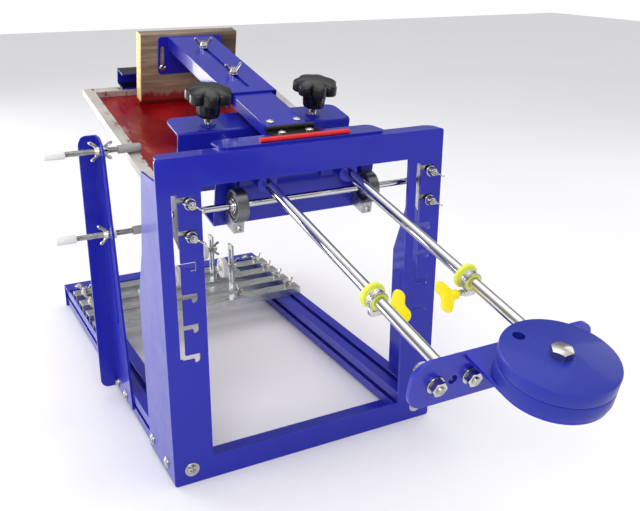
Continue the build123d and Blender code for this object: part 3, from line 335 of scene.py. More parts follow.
# The board's lower edge: its height where the arm's slope is carried back to y = 0, in metres
INK_LINE = (ARM_Z + BOARD_BOTTOM / math.cos(TILT)) * MM - ARM_Y * MM * math.tan(TILT)
LOOKS = {
    "blue": powder_coat("blue_paint", BLUE),
    "blue_disc": powder_coat("blue_disc", (0.012, 0.024, 0.30), gloss=0.42, coat=0.3),
    "chrome": bare_metal("chrome", (0.62, 0.62, 0.63), 0.08, (0.05, 0.05, 0.05), 500.0, 0.93,
                         scratch=0.02),
    "bright": bare_metal("bright_zinc", (0.60, 0.59, 0.55), 0.16, (1, 1, 1), 500.0, 0.72),
    "thread": bare_metal("thread_steel", (0.50, 0.49, 0.45), 0.25, (1, 1, 1), 600.0, 0.6),
    "race": bare_metal("bearing_steel", (0.20, 0.205, 0.21), 0.34, (0.1, 1, 1), 800.0, 0.7),
    "ring": bare_metal("bearing_ring", (0.62, 0.62, 0.61), 0.18, (1, 1, 1), 800.0, 0.8),
    "seal": moulded("bearing_seal", (0.012, 0.012, 0.013), 0.4),
    "grey": bare_metal("grey_steel", (0.40, 0.40, 0.40), 0.3, (1, 1, 0.2), 700.0, 0.75),
    "bar": bare_metal("zinc_bar", (0.60, 0.62, 0.61), 0.3, (0.04, 1, 1), 800.0, 0.82),
    "black": powder_coat("black_steel", (0.004, 0.005, 0.006), (0.10, 0.10, 0.10), 0.3, 0.2),
    "knob": moulded("black_plastic", (0.004, 0.004, 0.004), 0.32, 0.05),
    "strip": moulded("red_rubber", (0.70, 0.010, 0.012), 0.36, 0.12),
    "nylon": moulded("white_nylon", (0.80, 0.80, 0.77), 0.4, 0.05, 0.15, 0.93),
    "grey_plastic": moulded("grey_plastic", (0.36, 0.35, 0.34), 0.45, 0.08),
    "yellow": moulded("yellow_plastic", (0.90, 0.74, 0.0), 0.28, 0.04, 0.15, 0.96),
    "lemon": moulded("yellow_nylon", (0.72, 0.78, 0.08), 0.34, 0.04, 0.3, 0.94),
    "blade": moulded("blade_rubber", (0.30, 0.035, 0.02), 0.35, 0.08, 0.1),
    "wood": board_wood(),
    "wood_end": edge_wood(),
    "mesh": inked_mesh(),
    "frame": smeared_aluminium(),
}


# ------------------------------------------------------------------ mesh building
class Shape:
    """Closed shells in millimetres that become one object; look is a place in build's looks."""

    def __init__(self):
        self.points = []
        self.faces = []
        self.looks = []

    def loft(self, rings, look=0, closed=False, caps=True):
        """Quads between rings of the same length; closed joins the last ring to the first."""
        base = len(self.points)
        count = len(rings[0])
        for ring in rings:
            self.points.extend(Vector(p) for p in ring)
        spans = len(rings) if closed else len(rings) - 1
        for a in range(spans):
            b = (a + 1) % len(rings)
            for i in range(count):
                j = (i + 1) % count
                face = (base + a * count + i, base + a * count + j, base + b * count + j,
                        base + b * count + i)
                self.faces.append(face)
                self.looks.append(look)
        if caps and not closed:
            last = base + (len(rings) - 1) * count
            self.faces.append(tuple(base + i for i in reversed(range(count))))
            self.faces.append(tuple(last + i for i in range(count)))
            self.looks.extend((look, look))

    def turn(self, place, profile, steps=40, look=0, closed=False, radius=None):
        """A profile of (radius, height) turned about the place's z axis."""
        scale = radius or (lambda angle: 1.0)
        angles = [2 * math.pi * i / steps for i in range(steps)]
        rings = [
            [place @ Vector((r * scale(a) * math.cos(a), r * scale(a) * math.sin(a), z))
             for a in angles]
            for r, z in profile
        ]
        self.loft(rings, look, closed)

    def pipe(self, place, outer, inner, length, edge=0.4, steps=40, look=0):
        """A tube with rounded rims."""
        e = edge
        profile = [
            (inner, e), (inner + e, 0), (outer - e, 0), (outer, e),
            (outer, length - e), (outer - e, length), (inner + e, length), (inner, length - e),
        ]
        self.turn(place, profile, steps, look, closed=True)

    def rod(self, place, radius, length, edge=0.6, steps=32, look=0):
        """A round bar with chamfered ends."""
        profile = [(radius - edge, 0), (radius, edge), (radius, length - edge),
                   (radius - edge, length)]
        self.turn(place, profile, steps, look)

    def plate(self, place, outline, thickness, edge=0.5, look=0, dish=0.0, rim=1.2):
        """A flat outline made thick about the place's plane, its middle sunk by dish."""
        half = thickness / 2
        k = edge * 0.3
        levels = [(edge, -half), (k, -half + k), (0, -half + edge), (0, half - edge), (k, half - k),
                  (edge, half)]
        if dish:
            levels = [(edge + rim + dish, dish - half), (edge + rim, -half)] + levels
            levels += [(edge + rim, half), (edge + rim + dish, half - dish)]
        rings = [[place @ Vector((x, y, z)) for x, y in inset(outline, d)] for d, z in levels]
        self.loft(rings, look)

    def hexagon(self, place, flats, height, foot=False, bore=0.0, look=0):
        """A hexagonal head or nut, its corners turned off at the top and, with foot, below."""
        steps = 48
        chamfer = flats * 0.475

        def reach(i):
            angle = (math.radians(360 * i / steps) % math.radians(60)) - math.radians(30)
            return flats / 2 / math.cos(angle)

        def ring(radius, z):
            """A circle or, for radius 0, the hexagon with its corners drawn in from the end."""
            below = z < height / 2
            square = below and not foot
            points = []
            for i in range(steps):
                a = 2 * math.pi * i / steps
                r = radius or reach(i)
                drop = 0.0 if radius or square else (r - chamfer) * 0.5
                lift = z + drop if below else z - drop
                points.append(place @ Vector((r * math.cos(a), r * math.sin(a), lift)))
            return points

        rings = [ring(chamfer, 0)] if foot else []
        rings += [ring(0, 0), ring(0, height), ring(chamfer, height)]
        if bore:
            rings += [ring(bore, height), ring(bore, 0)]
        self.loft(rings, look, closed=bool(bore))

    def thread(self, place, radius, length, pitch=1.25, look=0):
        """A screw thread with a chamfered end."""
        steps = 16
        depth = pitch * 0.5
        levels = max(4, int(length / pitch * 4))
        rings = []
        for k in range(levels + 1):
            z = length * k / levels
            ends = min(1.0, min(z, length - z) / pitch + 0.35)
            ring = []
            for i in range(steps):
                turn = z / pitch - i / steps
                wave = abs((turn % 1.0) * 2 - 1)
                r = radius - depth * max(wave, 1 - ends)
                a = 2 * math.pi * i / steps
                ring.append(place @ Vector((r * math.cos(a), r * math.sin(a), z)))
            rings.append(ring)
        self.loft(rings, look)

    def screw(self, place, radius, height, look=0, washer=0.0):
        """A domed screw head with a cross recess, on a washer if it has one."""
        lift = 0.0
        if washer:
            self.pipe(place, washer, radius * 0.45, 1.2, 0.25, 40, look)
            lift = 1.15
        steps, levels = 64, 12
        rings = []
        for k in range(levels + 1):
            share = 1 - k / levels
            ring = []
            for i in range(steps):
                a = 2 * math.pi * i / steps
                r = radius * max(share, 0.02)
                x, y = r * math.cos(a), r * math.sin(a)
                dome = height * (1 - (r / radius) ** 2.6 * 0.55)
                arm = min(abs(x), abs(y))
                far = max(abs(x), abs(y))
                across = smooth(radius * 0.16 - arm, 0, radius * 0.07)
                along = smooth(radius * 0.62 - far, 0, radius * 0.16)
                sunk = across * along * height * 0.55
                ring.append(place @ Vector((x, y, lift + dome - sunk)))
            rings.append(ring)
        foot = []
        for i in range(steps):
            a = 2 * math.pi * i / steps
            x, y = radius * math.cos(a) * 0.97, radius * math.sin(a) * 0.97
            foot.append(place @ Vector((x, y, lift)))
        self.loft([foot] + rings, look)

    def wing_nut(self, place, look=0, bore=3.0):
        """A pressed wing nut: a turned hub and two dished wings."""
        hub = [(bore, 0.3), (bore + 0.5, 0), (6.0, 0), (6.2, 0.4), (5.9, 3.2), (4.9, 5.4),
               (4.7, 7.1), (4.3, 7.5), (bore + 0.4, 7.5), (bore, 7.1)]
        self.turn(place, hub, 28, look, closed=True)
        for side in (0, 180):
            wing = place @ turned(z=side) @ turned(x=90)
            self.plate(wing, WING, 2.1, 0.75, look, dish=0.45, rim=0.85)

    def nut_on_washer(self, place, turn, washer=7):
        """A washer with a wing nut on it, the wings turned by an angle."""
        self.pipe(place, washer, 3, 1.2, 0.25)
        self.wing_nut(place @ at(0, 0, 1.2) @ turned(z=turn))

    def block(self, place, low, high, edge=0.5, look=0):
        """A box with rounded edges between two corners of a place."""
        (x0, y0, z0), (x1, y1, z1) = low, high
        outline = rounded_box(x0, y0, x1, y1, edge * 1.6)
        middle = place @ Matrix.Translation((0, 0, (z0 + z1) / 2))
        self.plate(middle, outline, z1 - z0, edge, look)

    def build(self, name, looks, body, replaced=(), angle=38):
        """The finished object, riding on a body and standing for CAD nodes."""
        mesh = bpy.data.meshes.new(name)
        mesh.from_pydata([p * MM for p in self.points], [], self.faces)
        for look in looks:
            mesh.materials.append(LOOKS[look])
        mesh.polygons.foreach_set("material_index", self.looks)
        tidy = bmesh.new()
        tidy.from_mesh(mesh)
        bmesh.ops.remove_doubles(tidy, verts=tidy.verts, dist=1e-7)
        bmesh.ops.recalc_face_normals(tidy, faces=tidy.faces)
        tidy.to_mesh(mesh)
        tidy.free()
        return place_piece(mesh, name, body, replaced, angle)


def place_piece(mesh, name, body, replaced, angle):
    """A mesh as an object with smooth faces, riding on a body and standing for CAD nodes."""
    mesh.shade_smooth()
    mesh.set_sharp_from_angle(angle=math.radians(angle))
    piece = bpy.data.objects.new(name, mesh)
    bpy.context.scene.collection.objects.link(piece)
    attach(piece, body)
    if replaced:
        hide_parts(*replaced)
    return piece


def smooth(value, low, high):
    """An eased step from 0 at low to 1 at high."""
    share = min(1.0, max(0.0, (value - low) / (high - low)))
    return share * share * (3 - 2 * share)


def inset(outline, distance):
    """An outline moved inwards; the outline runs anticlockwise."""
    if not distance:
        return outline
    moved = []
    count = len(outline)
    for i in range(count):
        before, here, after = (Vector(outline[(i + k) % count]) for k in (-1, 0, 1))
        first, second = (here - before).normalized(), (after - here).normalized()
        a, b = Vector((-first.y, first.x)), Vector((-second.y, second.x))
        normal = (a + b).normalized()
        share = max(0.35, normal.dot(a))
        moved.append(tuple(here + normal * (distance / share)))
    return moved


def rounded_box(x0, y0, x1, y1, radius, steps=4):
    """A rectangle's outline with round corners."""
    radius = min(radius, (x1 - x0) / 2 - 0.01, (y1 - y0) / 2 - 0.01)
    corners = ((x1 - radius, y1 - radius, 0), (x0 + radius, y1 - radius, 90),
               (x0 + radius, y0 + radius, 180), (x1 - radius, y0 + radius, 270))
    outline = []
    for cx, cy, start in corners:
        for k in range(steps + 1):
            a = math.radians(start + 90 * k / steps)
            outline.append((cx + radius * math.cos(a), cy + radius * math.sin(a)))
    return outline


def curve_through(points, steps=6):
    """A smooth closed outline through given points."""
    outline = []
    count = len(points)
    for i in range(count):
        p = [Vector(points[(i + k) % count]) for k in (-1, 0, 1, 2)]
        for k in range(steps):
            t = k / steps
            outline.append(tuple(0.5 * (
                2 * p[1] + (p[2] - p[0]) * t + (2 * p[0] - 5 * p[1] + 4 * p[2] - p[3]) * t ** 2
                + (3 * p[1] - p[0] - 3 * p[2] + p[3]) * t ** 3)))
    return outline


WING = curve_through([(3.2, 0.9), (6.4, 1.6), (9.6, 5.0), (13.0, 9.4), (13.6, 12.6), (11.6, 13.8),
                      (9.0, 12.2), (6.6, 8.2), (4.0, 6.2)], 4)


def refined(node, look, body, edge=0.6, folds=None, fold_radius=2.6, angle=34):
    """A CAD node's shape, its folds rounded by the bend's radius and other edges by a small one."""
    source = cad_nodes[node]
    mesh = source.data.copy()
    mesh.name = node + "_body"
    shell = bmesh.new()
    shell.from_mesh(mesh)
    bmesh.ops.remove_doubles(shell, verts=shell.verts, dist=2e-6)
    bmesh.ops.dissolve_limit(
        shell, angle_limit=math.radians(1.0), verts=shell.verts, edges=shell.edges,
        use_dissolve_boundaries=False)
    if folds:
        chosen = []
        for edge_line in shell.edges:
            start, end = (v.co / MM for v in edge_line.verts)
            sharp = len(edge_line.link_faces) == 2 and edge_line.calc_face_angle(0) > 1.2
            if sharp and edge_line.is_convex and folds((start + end) / 2, start - end):
                chosen.append(edge_line)
        bmesh.ops.bevel(shell, geom=chosen, offset=fold_radius * MM, segments=5, affect="EDGES",
                        profile=0.5, clamp_overlap=True)
    shell.to_mesh(mesh)
    shell.free()
    mesh.materials.clear()
    mesh.materials.append(LOOKS[look])
    mesh.polygons.foreach_set("material_index", [0] * len(mesh.polygons))
    piece = place_piece(mesh, node + "_body", body, (node,), angle)
    if edge:
        bevel = piece.modifiers.new("edge", "BEVEL")
        bevel.width = edge * MM
        bevel.segments = 2
        bevel.limit_method = "ANGLE"
        bevel.angle_limit = math.radians(angle)
        bevel.use_clamp_overlap = True
        bevel.harden_normals = False
        weighted = piece.modifiers.new("weighted", "WEIGHTED_NORMAL")
        weighted.mode = "FACE_AREA"
        weighted.weight = 100
        weighted.keep_sharp = True
        apply_modifiers(piece)
    return piece


def apply_modifiers(piece):
    """The object's mesh as its modifiers leave it."""
    graph = bpy.context.evaluated_depsgraph_get()
    final = bpy.data.meshes.new_from_object(piece.evaluated_get(graph))
    piece.modifiers.clear()
    piece.data = final


# ------------------------------------------------------------------ sheet metal and profiles
def near(value, target, margin=0.6):
    """Whether two lengths in millimetres agree."""
    return abs(value - target) < margin


def portal_fold(middle, run):
    """Whether an edge is a bend at the portal's top, foot or sides, from its middle and its run."""
    level = (near(middle.z, PORTAL_TOP) or near(middle.z, 0)) and abs(run.x) > 50
    upright = near(abs(middle.x), PORTAL_HALF) and abs(run.z) > 50
    return near(middle.y, 0) and (level or upright)


def carriage_fold(front, flat_levels):
    """The same for the long X edges of a channel in the carriage's frame."""
    back = CARRIAGE.inverted()

    def chosen(middle, run):
        local = back @ middle
        level = any(near(local.z, height) for height in flat_levels)
        return near(local.y, front) and level and abs(run.x) > 40

    return chosen


def arm_fold(top):
    """The same for the arm's long upper edges."""
    back = ARM.inverted()

    def chosen(middle, run):
        local = back @ middle
        return near(local.z, top, 0.4) and abs(local.x) > 27 and run.length > 60

    return chosen


refined("portal", "blue", "portal_base", 0.5, portal_fold, 2.8)
refined("hinge_plate", "blue", "portal_base", 0.6)
refined("base_rails", "blue", "portal_base", 0.5)
refined("rear_angle", "blue", "portal_base", 0.5)
refined("side_post", "blue", "portal_base", 0.6)
refined("shaft_hangers", "grey", "portal_base", 0.5)
refined("crossbars_spare", "bar", "portal_base", 0.4)
refined("pivot_beam", "blue", "pivot", 0.5, carriage_fold(34, (17.5, -65)), 2.4)
refined("rod_sleeves", "blue", "pivot", 0.5)
refined("bearing_saddles", "grey", "pivot", 0.6)
refined("screen_clamp", "blue", "carriage", 0.5,
        carriage_fold(126.8, (17.5, -67.3)), 3.5)
refined("rod_supports", "grey", "carriage", 0.6)
refined("weight_bracket", "blue", "carriage", 0.5)
refined("screen_frame", "frame", "carriage", 0.5)
pull = refined("pull_bar", "blue", "carriage", 0.5)
# Painted shade: the pull bar's upward faces take the black look, standing in for the dark top of
# the blue channel.
pull.data.materials.append(LOOKS["black"])
carriage_up = CARRIAGE.to_3x3() @ Vector((0, 0, 1))
for face in pull.data.polygons:
    if face.normal.dot(carriage_up) > 0.6:
        face.material_index = 1
refined("press_bar", "blue", "press", 0.5)
refined("arm_inner", "blue", "arm", 0.5, arm_fold(1.5), 2.0)
refined("arm_outer", "blue", "reach", 0.5, arm_fold(4.2), 2.0)
refined("hinge_leaf", "black", "arm", 0.4)
refined("hinge_fixed", "black", "portal_base", 0.4)
for row in ("front", "rear"):
    refined("crossbar_" + row, "bar", "cradle_" + row, 0.4)
    refined("roller_posts_" + row, "bar", "cradle_" + row, 0.4)


# ------------------------------------------------------------------ rods and shafts
shape = Shape()
for side in (-1, 1):
    shape.rod(CARRIAGE @ at(side * ROD_X, ROD_FRONT, 0, BACKWARD), 6, ROD_LENGTH, 1.0, 48)
shape.build("guide_rods_turned", ["chrome"], "carriage", ["guide_rods"])

shape = Shape()
shape.rod(at(-168, SHAFT_Y, SHAFT_Z, RIGHTWARD), 4, 329, 0.8, 40)
shape.build("cross_shaft_turned", ["chrome"], "portal_base", ["cross_shaft"])

for name, (y, z, left, right) in STOP_RODS.items():
    body = "stop_rod_up" if name == "upper" else "stop_rod_low"
    start = left + TIP_LENGTHS[0]
    shape = Shape()
    shape.thread(at(start, y, z, RIGHTWARD), 4.0, right - TIP_LENGTHS[1] - start)
    shape.build("stop_rod_thread_" + name, ["thread"], body, ["stop_rod_" + name])
    shape = Shape()
    outer = [(3.4, 0), (4.9, 0.3), (5.8, 1.4), (6, 3), (6, 26.4), (5.6, 27.6), (4.2, 28)]
    shape.turn(at(left, y, z, RIGHTWARD), outer, 36, 0)
    inner = [(4.2, 0), (5.6, 0.4), (6, 1.5), (6, 29), (5.7, 31), (4.8, 32), (3.0, 32)]
    shape.turn(at(right - TIP_LENGTHS[1], y, z, RIGHTWARD), inner, 36, 1)
    shape.build("stop_tips_sleeves_" + name, ["nylon", "grey_plastic"], body, ["stop_tips_" + name])

# ------------------------------------------------------------------ fasteners
shape = Shape()
for slot_x in HOOK_SLOTS:
    for bolt_z in BOLT_Z:
        front = at(slot_x + HOOK_REACH, 0, bolt_z, FORWARD)
        shape.nut_on_washer(front, -25)
        shape.thread(front @ at(0, 0, -6), M6, 20, 1.0, 1)
        shape.hexagon(at(slot_x + HOOK_REACH, 6, bolt_z, BACKWARD), 10, 4, foot=True)
for name, (y, z, left, right) in STOP_RODS.items():
    shape.wing_nut(at(SIDE_POST_OUTER, y, z, LEFTWARD) @ turned(z=20), bore=4.05)
    inner_face = at(SIDE_POST_INNER, y, z, RIGHTWARD)
    if name == "upper":
        shape.wing_nut(inner_face @ turned(z=15), bore=4.05)
    else:
        shape.hexagon(inner_face, 13, 6.5, foot=True, bore=4.05)
shape.build("frame_wing_nuts_pressed", ["bright", "thread"], "portal_base", ["frame_wing_nuts"])

shape = Shape()
for side in (-1, 1):
    shape.screw(at(side * RAIL_X, 0, GROOVE_Z, FORWARD), 6.5, 3.0, washer=9.5)
    for y in (29, 88):
        outward = RIGHTWARD if side > 0 else LEFTWARD
        shape.screw(at(side * PORTAL_HALF, y, GROOVE_Z, outward), 5.5, 3.0, washer=7.5)
    shape.screw(at(side * RAIL_X, 612, 41), 5.5, 3.0, washer=7.5)
    shape.screw(at(side * HINGE_SCREW_X, 41, 423.5), 5.5, 2.8)
for y in (218, 260):
    shape.screw(at(-PORTAL_HALF, y, GROOVE_Z, LEFTWARD), 5.5, 3.0, washer=7.5)
shape.build("frame_screws_heads", ["bright"], "portal_base", ["frame_screws"])

shape = Shape()
for side in (-1, 1):
    shape.screw(CARRIAGE @ at(side * BEARING_X, 4, -54, FORWARD), 3.8, 3.0)
    for offset in (-19.5, 19.5):
        shape.screw(CARRIAGE @ at(side * ROD_X + offset, 30, 0, FORWARD), 3.5, 2.5)
shape.build("beam_screws_heads", ["bright"], "pivot", ["beam_screws"])

shape = Shape()
for side in (-1, 1):
    shape.screw(ARM @ at(side * HINGE_SCREW_X, 18, 1.5), 5.5, 2.8)
for turn, a in ((10, 183), (-5, 299)):
    place = ARM @ at(0, a, 4.3)
    shape.nut_on_washer(place, turn)
    shape.thread(ARM @ at(0, a, -1), M6, 15, 1.0, 1)
    shape.rod(ARM @ at(0, a, -1, DOWN), 6, 3, 0.6)
shape.build("arm_fasteners_pressed", ["bright", "thread"], "arm", ["arm_fasteners"])

shape = Shape()
for side in (-1, 1):
    shape.screw(ARM @ at(side * 44.5, 354.3, -43.5, FORWARD), 5, 2.8)
shape.build("squeegee_screws_heads", ["bright"], "squeegee", ["squeegee_screws"])

shape = Shape()
for side in (-1, 1):
    for offset in (-18, 18):
        face = CARRIAGE @ at(side * ROD_X + offset, BRACKET_FACE, 0, FORWARD)
        shape.pipe(face, 8.5, 4, 1.5, 0.3)
        shape.hexagon(face @ at(0, 0, 1.5), 13, 6.5, foot=True, bore=3.9)
        shape.thread(face @ at(0, 0, -18), M8, 28, 1.25, 1)
        shape.hexagon(face @ at(0, 0, -18, DOWN), 13, 5)
shape.build("bracket_bolts_turned", ["bright", "thread"], "carriage", ["bracket_bolts"])

shape = Shape()
crown = CARRIAGE @ at(0, WEIGHT_S, WEIGHT_FOOT + 2 * WEIGHT_STEP)
shape.hexagon(crown, 17, 6.4)
shape.thread(crown @ at(0, 0, 0, DOWN), M10, 61, 1.5, 1)
shape.hexagon(CARRIAGE @ at(0, WEIGHT_S, 21, DOWN), 17, 8, foot=True, bore=4.9)
shape.build("weight_bolt_turned", ["bright", "thread"], "carriage", ["weight_bolt"])


def bar_bolts(shape, front):
    """Wing bolts through a crossbar into square nuts in the rails' grooves."""
    y = front + BAR_HALF
    for side in (-1, 1):
        x = side * RAIL_X
        shape.block(at(), (x - 6.5, y - 6.5, 29.7), (x + 6.5, y + 6.5, 33.7), 0.5)
        shape.thread(at(x, y, 29.7), M6, 31, 1.0, 1)
        shape.nut_on_washer(at(x, y, BAR_TOP), side * 25)


shape = Shape()
for index in (1, 3):
    bar_bolts(shape, BAR_FRONTS[index])
shape.build("crossbar_bolts_spare_pressed", ["bright", "thread"], "portal_base",
            ["crossbar_bolts_spare"])

for row, index in (("front", 0), ("rear", 2)):
    y = BAR_FRONTS[index] + BAR_HALF
    shape = Shape()
    bar_bolts(shape, BAR_FRONTS[index])
    for side in (-1, 1):
        seat = at(side * (POST_X + 16), y, BAR_TOP + 2.5)
        shape.nut_on_washer(seat, 90, 5.5)
        shape.thread(seat @ at(0, 0, -2.5), M6, 14.5, 1.0, 1)
    shape.build("crossbar_bolts_pressed_" + row, ["bright", "thread"], "cradle_" + row,
                ["crossbar_bolts_" + row])

    shape = Shape()
    wheels = Shape()
    for side in (-1, 1):
        outward = RIGHTWARD if side > 0 else LEFTWARD
        shape.thread(at(side * 34, y, ROLLER_Z, outward), M6, 34, 1.0, 1)
        shape.hexagon(at(side * 33, y, ROLLER_Z, outward), 8, 3.5)
        shape.pipe(at(side * 47, y, ROLLER_Z, outward), 5, 2.9, POST_X - 47.1, 0.4)
        shape.wing_nut(at(side * (POST_X + 3.1), y, ROLLER_Z, outward))
        rim = [(3.05, 0.3), (3.6, 0), (7.5, 0), (8.0, 1.4), (12.8, 1.4), (13.6, 0.2), (15.6, 0),
               (16.9, 0.6), (17.5, 2.0), (17.5, 7.5), (16.9, 8.9), (15.6, 9.5), (13.6, 9.3),
               (12.8, 8.1), (8.0, 8.1), (7.5, 9.5), (3.6, 9.5), (3.05, 9.2)]
        wheels.turn(at(side * 37, y, ROLLER_Z, outward), rim, 56, 0, closed=True)
    shape.build("roller_axles_turned_" + row, ["bright", "thread"], "axle_" + row,
                ["roller_axles_" + row])
    wheels.build("rollers_moulded_" + row, ["nylon"], "wheels_" + row, ["rollers_" + row])

# ------------------------------------------------------------------ bearings
shape = Shape()
seals = Shape()
for side in (-1, 1):
    hub = at(side * BEARING_X, SHAFT_Y, SHAFT_Z, RIGHTWARD)
    outer = [(16.4, -6.6), (16.8, -7), (19.2, -7), (20, -6.2), (20, 6.2), (19.2, 7), (16.8, 7),
             (16.4, 6.6)]
    shape.turn(hub, outer, 72, 0, closed=True)
    inner = [(4.05, -8.8), (4.3, -9), (7.2, -9), (7.5, -8.6), (7.5, -7), (9.3, -6.8), (9.5, -6.4),
             (9.5, 6.4), (9.3, 6.8), (7.5, 7), (7.5, 8.6), (7.2, 9), (4.3, 9), (4.05, 8.8)]
    shape.turn(hub, inner, 56, 1, closed=True)
    seal = [(9.5, -5.4), (10.6, -5.7), (11.6, -5.2), (14.6, -5.2), (15.4, -5.8), (16.4, -5.4),
            (16.4, 5.4), (15.4, 5.8), (14.6, 5.2), (11.6, 5.2), (10.6, 5.7), (9.5, 5.4)]
    seals.turn(hub, seal, 64, 0, closed=True)
shape.build("bearings_races", ["race", "ring"], "pivot", ["bearings"])
seals.build("bearings_seals", ["seal"], "pivot", ["bearings"])

# ------------------------------------------------------------------ star knobs
LOBES = 7


def star(place, profile, steps=168):
    """Rings of a star knob's head: round near the middle, scalloped into lobes towards the rim."""
    rings = []
    for radius, z in profile:
        share = smooth(radius, 13.0, 27.0)
        ring = []
        for i in range(steps):
            angle = 2 * math.pi * i / steps
            wave = 0.5 + 0.5 * math.cos(LOBES * angle)
            r = radius * (1 - 0.23 * share * (1 - wave ** 0.4))
            ring.append(place @ Vector((r * math.cos(angle), r * math.sin(angle), z)))
        rings.append(ring)
    return rings


for name, side in (("left", -1), ("right", 1)):
    body = "knob_l" if side < 0 else "knob_r"
    base = CARRIAGE @ at(side * KNOB_X, KNOB_S, KNOB_BASE)
    shape = Shape()
    ribs = [(11.0, 0), (13.2, 0.2), (14.0, 1.0), (14.6, 6), (15.4, 14), (16.0, 20.4)]
    shape.turn(base, ribs, 84, 0, radius=lambda a: 1.0 + 0.018 * math.cos(14 * a))
    head = [(14.0, 18.6), (16.5, 18.4), (19.0, 19.6), (22.0, 20.2), (27.6, 20.4), (29.2, 20.9),
            (29.9, 22.0), (29.95, 24.0), (29.9, 31.2), (29.5, 32.8), (28.4, 34.0), (26.0, 35.4),
            (22.0, 37.0), (16.0, 38.6), (9.0, 39.7), (3.0, 40.0), (0.4, 40.0)]
    shape.loft(star(base, head))
    shape.build("knob_star_" + name, ["knob"], body, ["knob_" + name], 50)
    shape = Shape()
    shape.thread(CARRIAGE @ at(side * KNOB_X, KNOB_S, -51), M10, 80.5, 1.5)
    shape.build("knob_stud_thread_" + name, ["bright"], body, ["knob_stud_" + name])

# ------------------------------------------------------------------ rod stops
KEY = curve_through([(0, -4.6), (5.5, -5.0), (9.0, -9.8), (13, -15.2), (17.5, -16.6), (21.8, -13.6),
                     (23.6, -8.5), (21.2, -2.6), (20.4, 0), (21.2, 2.6), (23.6, 8.5), (21.8, 13.6),
                     (17.5, 16.6), (13, 15.2), (9.0, 9.8), (5.5, 5.0), (0, 4.6)], 4)
for name, side, stop_s in (("left", -1, -236.0), ("right", 1, -237.0)):
    body = "ring_l" if side < 0 else "ring_r"
    x = side * ROD_X
    shape = Shape()
    ring = CARRIAGE @ at(x, stop_s + 2.5, 0, FORWARD)
    profile = [(6.05, 0.3), (6.4, 0), (12.2, 0), (13.2, 0.7), (13.5, 2.0), (13.4, 3.4), (12.6, 4.6),
               (11.4, 5.0), (9.6, 5.2), (9.0, 5.8), (9.0, 15.4), (8.6, 16), (6.4, 16), (6.05, 15.7)]
    shape.turn(ring, profile, 56, 0, closed=True)
    shape.build("stop_ring_turned_" + name, ["lemon"], body, ["stop_ring_" + name])

    front = stop_s - 13.5
    band = CARRIAGE @ at(x, front + 9, 0, FORWARD)
    shape = Shape()
    lip = [(9.0, 0.2), (9.3, 0), (10.0, 0.3), (10.3, 1.0), (10.0, 1.6), (10.0, 7.4), (10.3, 8.0),
           (10.0, 8.7), (9.3, 9.0), (9.0, 8.8)]
    shape.turn(band, lip, 64, 0, closed=True)
    for k in range(15):
        notch = band @ turned(z=100 + 13 * k) @ at(10.25, 0, 4.5)
        shape.block(notch, (-0.25, -0.45, -2.2), (0.3, 0.45, 2.2), 0.12)
    frame_place = CARRIAGE @ at(x, front, 0)
    shape.block(frame_place, (-7, 0.2, -16.6), (7, 8.8, -9.2), 1.4)
    inward = LEFTWARD if side > 0 else RIGHTWARD
    shape.rod(CARRIAGE @ at(x - side * 6, front + 4.5, -13.2, inward), 3.2, 5, 0.5)
    shape.thread(CARRIAGE @ at(x - side * 6, front + 4.5, -13.4, inward), 2.4, 7.5, 1.2)
    shape.build("stop_band_worm_" + name, ["bright"], body, ["stop_band_" + name])

    shape = Shape()
    grip = CARRIAGE @ at(side * (ROD_X - 13), front + 4.5, -13.5) @ turned(x=40)
    if side > 0:
        grip = grip @ turned(z=180)
    shape.plate(grip, KEY, 4.0, 1.5, 0)
    shape.turn(grip @ at(-1.0, 0, 0, RIGHTWARD),
               [(2.6, 0), (3.4, 0.4), (3.6, 2), (3.0, 8), (2.0, 11)], 24, 0)
    shape.build("stop_key_moulded_" + name, ["yellow"], body, ["stop_key_" + name],
                60)

# ------------------------------------------------------------------ counterweights
shape = Shape()
rim = [(5.0, 0.4), (5.5, 0), (WEIGHT_RADIUS - 1.1, 0), (WEIGHT_RADIUS - 0.3, 0.4),
       (WEIGHT_RADIUS, 1.2), (WEIGHT_RADIUS, 11.7), (WEIGHT_RADIUS - 0.3, 12.5),
       (WEIGHT_RADIUS - 1.1, 12.95), (5.5, 12.95), (5.0, 12.5)]
for layer in (0, 1):
    shape.turn(CARRIAGE @ at(0, WEIGHT_S, WEIGHT_FOOT + layer * WEIGHT_STEP), rim, 120, 0,
               closed=True)
weights = shape.build("counterweights_turned", ["blue_disc"], "carriage", ["counterweights"])
# The hole beside the bolt
cutter_shape = Shape()
cutter_shape.rod(CARRIAGE @ at(-16, -389, 20), 5.5, 40, 0.1, 40)
cutter_mesh = bpy.data.meshes.new("cutter")
cutter_mesh.from_pydata([p * MM for p in cutter_shape.points], [], cutter_shape.faces)
cutter = bpy.data.objects.new("cutter", cutter_mesh)
bpy.context.scene.collection.objects.link(cutter)
cut = weights.modifiers.new("cut", "BOOLEAN")
cut.object = cutter
cut.solver = "EXACT"
apply_modifiers(weights)
bpy.data.objects.remove(cutter)
weights.data.shade_smooth()
weights.data.set_sharp_from_angle(angle=math.radians(38))

# ------------------------------------------------------------------ red strip
STRIP_HALF, STRIP_Y, STRIP_Z, STRIP_RINGS = 58.9, 15.0, 423.75, 40
shape = Shape()
rings = []
section = rounded_box(-4.0, -3.0, 4.0, 3.0, 2.4, 5)
for k in range(STRIP_RINGS + 1):
    x = STRIP_HALF * (2 * k / STRIP_RINGS - 1)
    pinch = 1.0 - 0.05 * abs(noise.noise(Vector((x * 0.05, 3, 0))))
    if k in (0, STRIP_RINGS):
        pinch = 0.86
    middle = STRIP_Z + 0.05 * noise.noise(Vector((x * 0.03, 0, 7)))
    rings.append([Vector((x, STRIP_Y + y * pinch, middle + z * 0.9 * pinch)) for y, z in section])
shape.loft(rings)
shape.build("red_strip_rubber", ["strip"], "portal_base", ["red_strip"], 70)

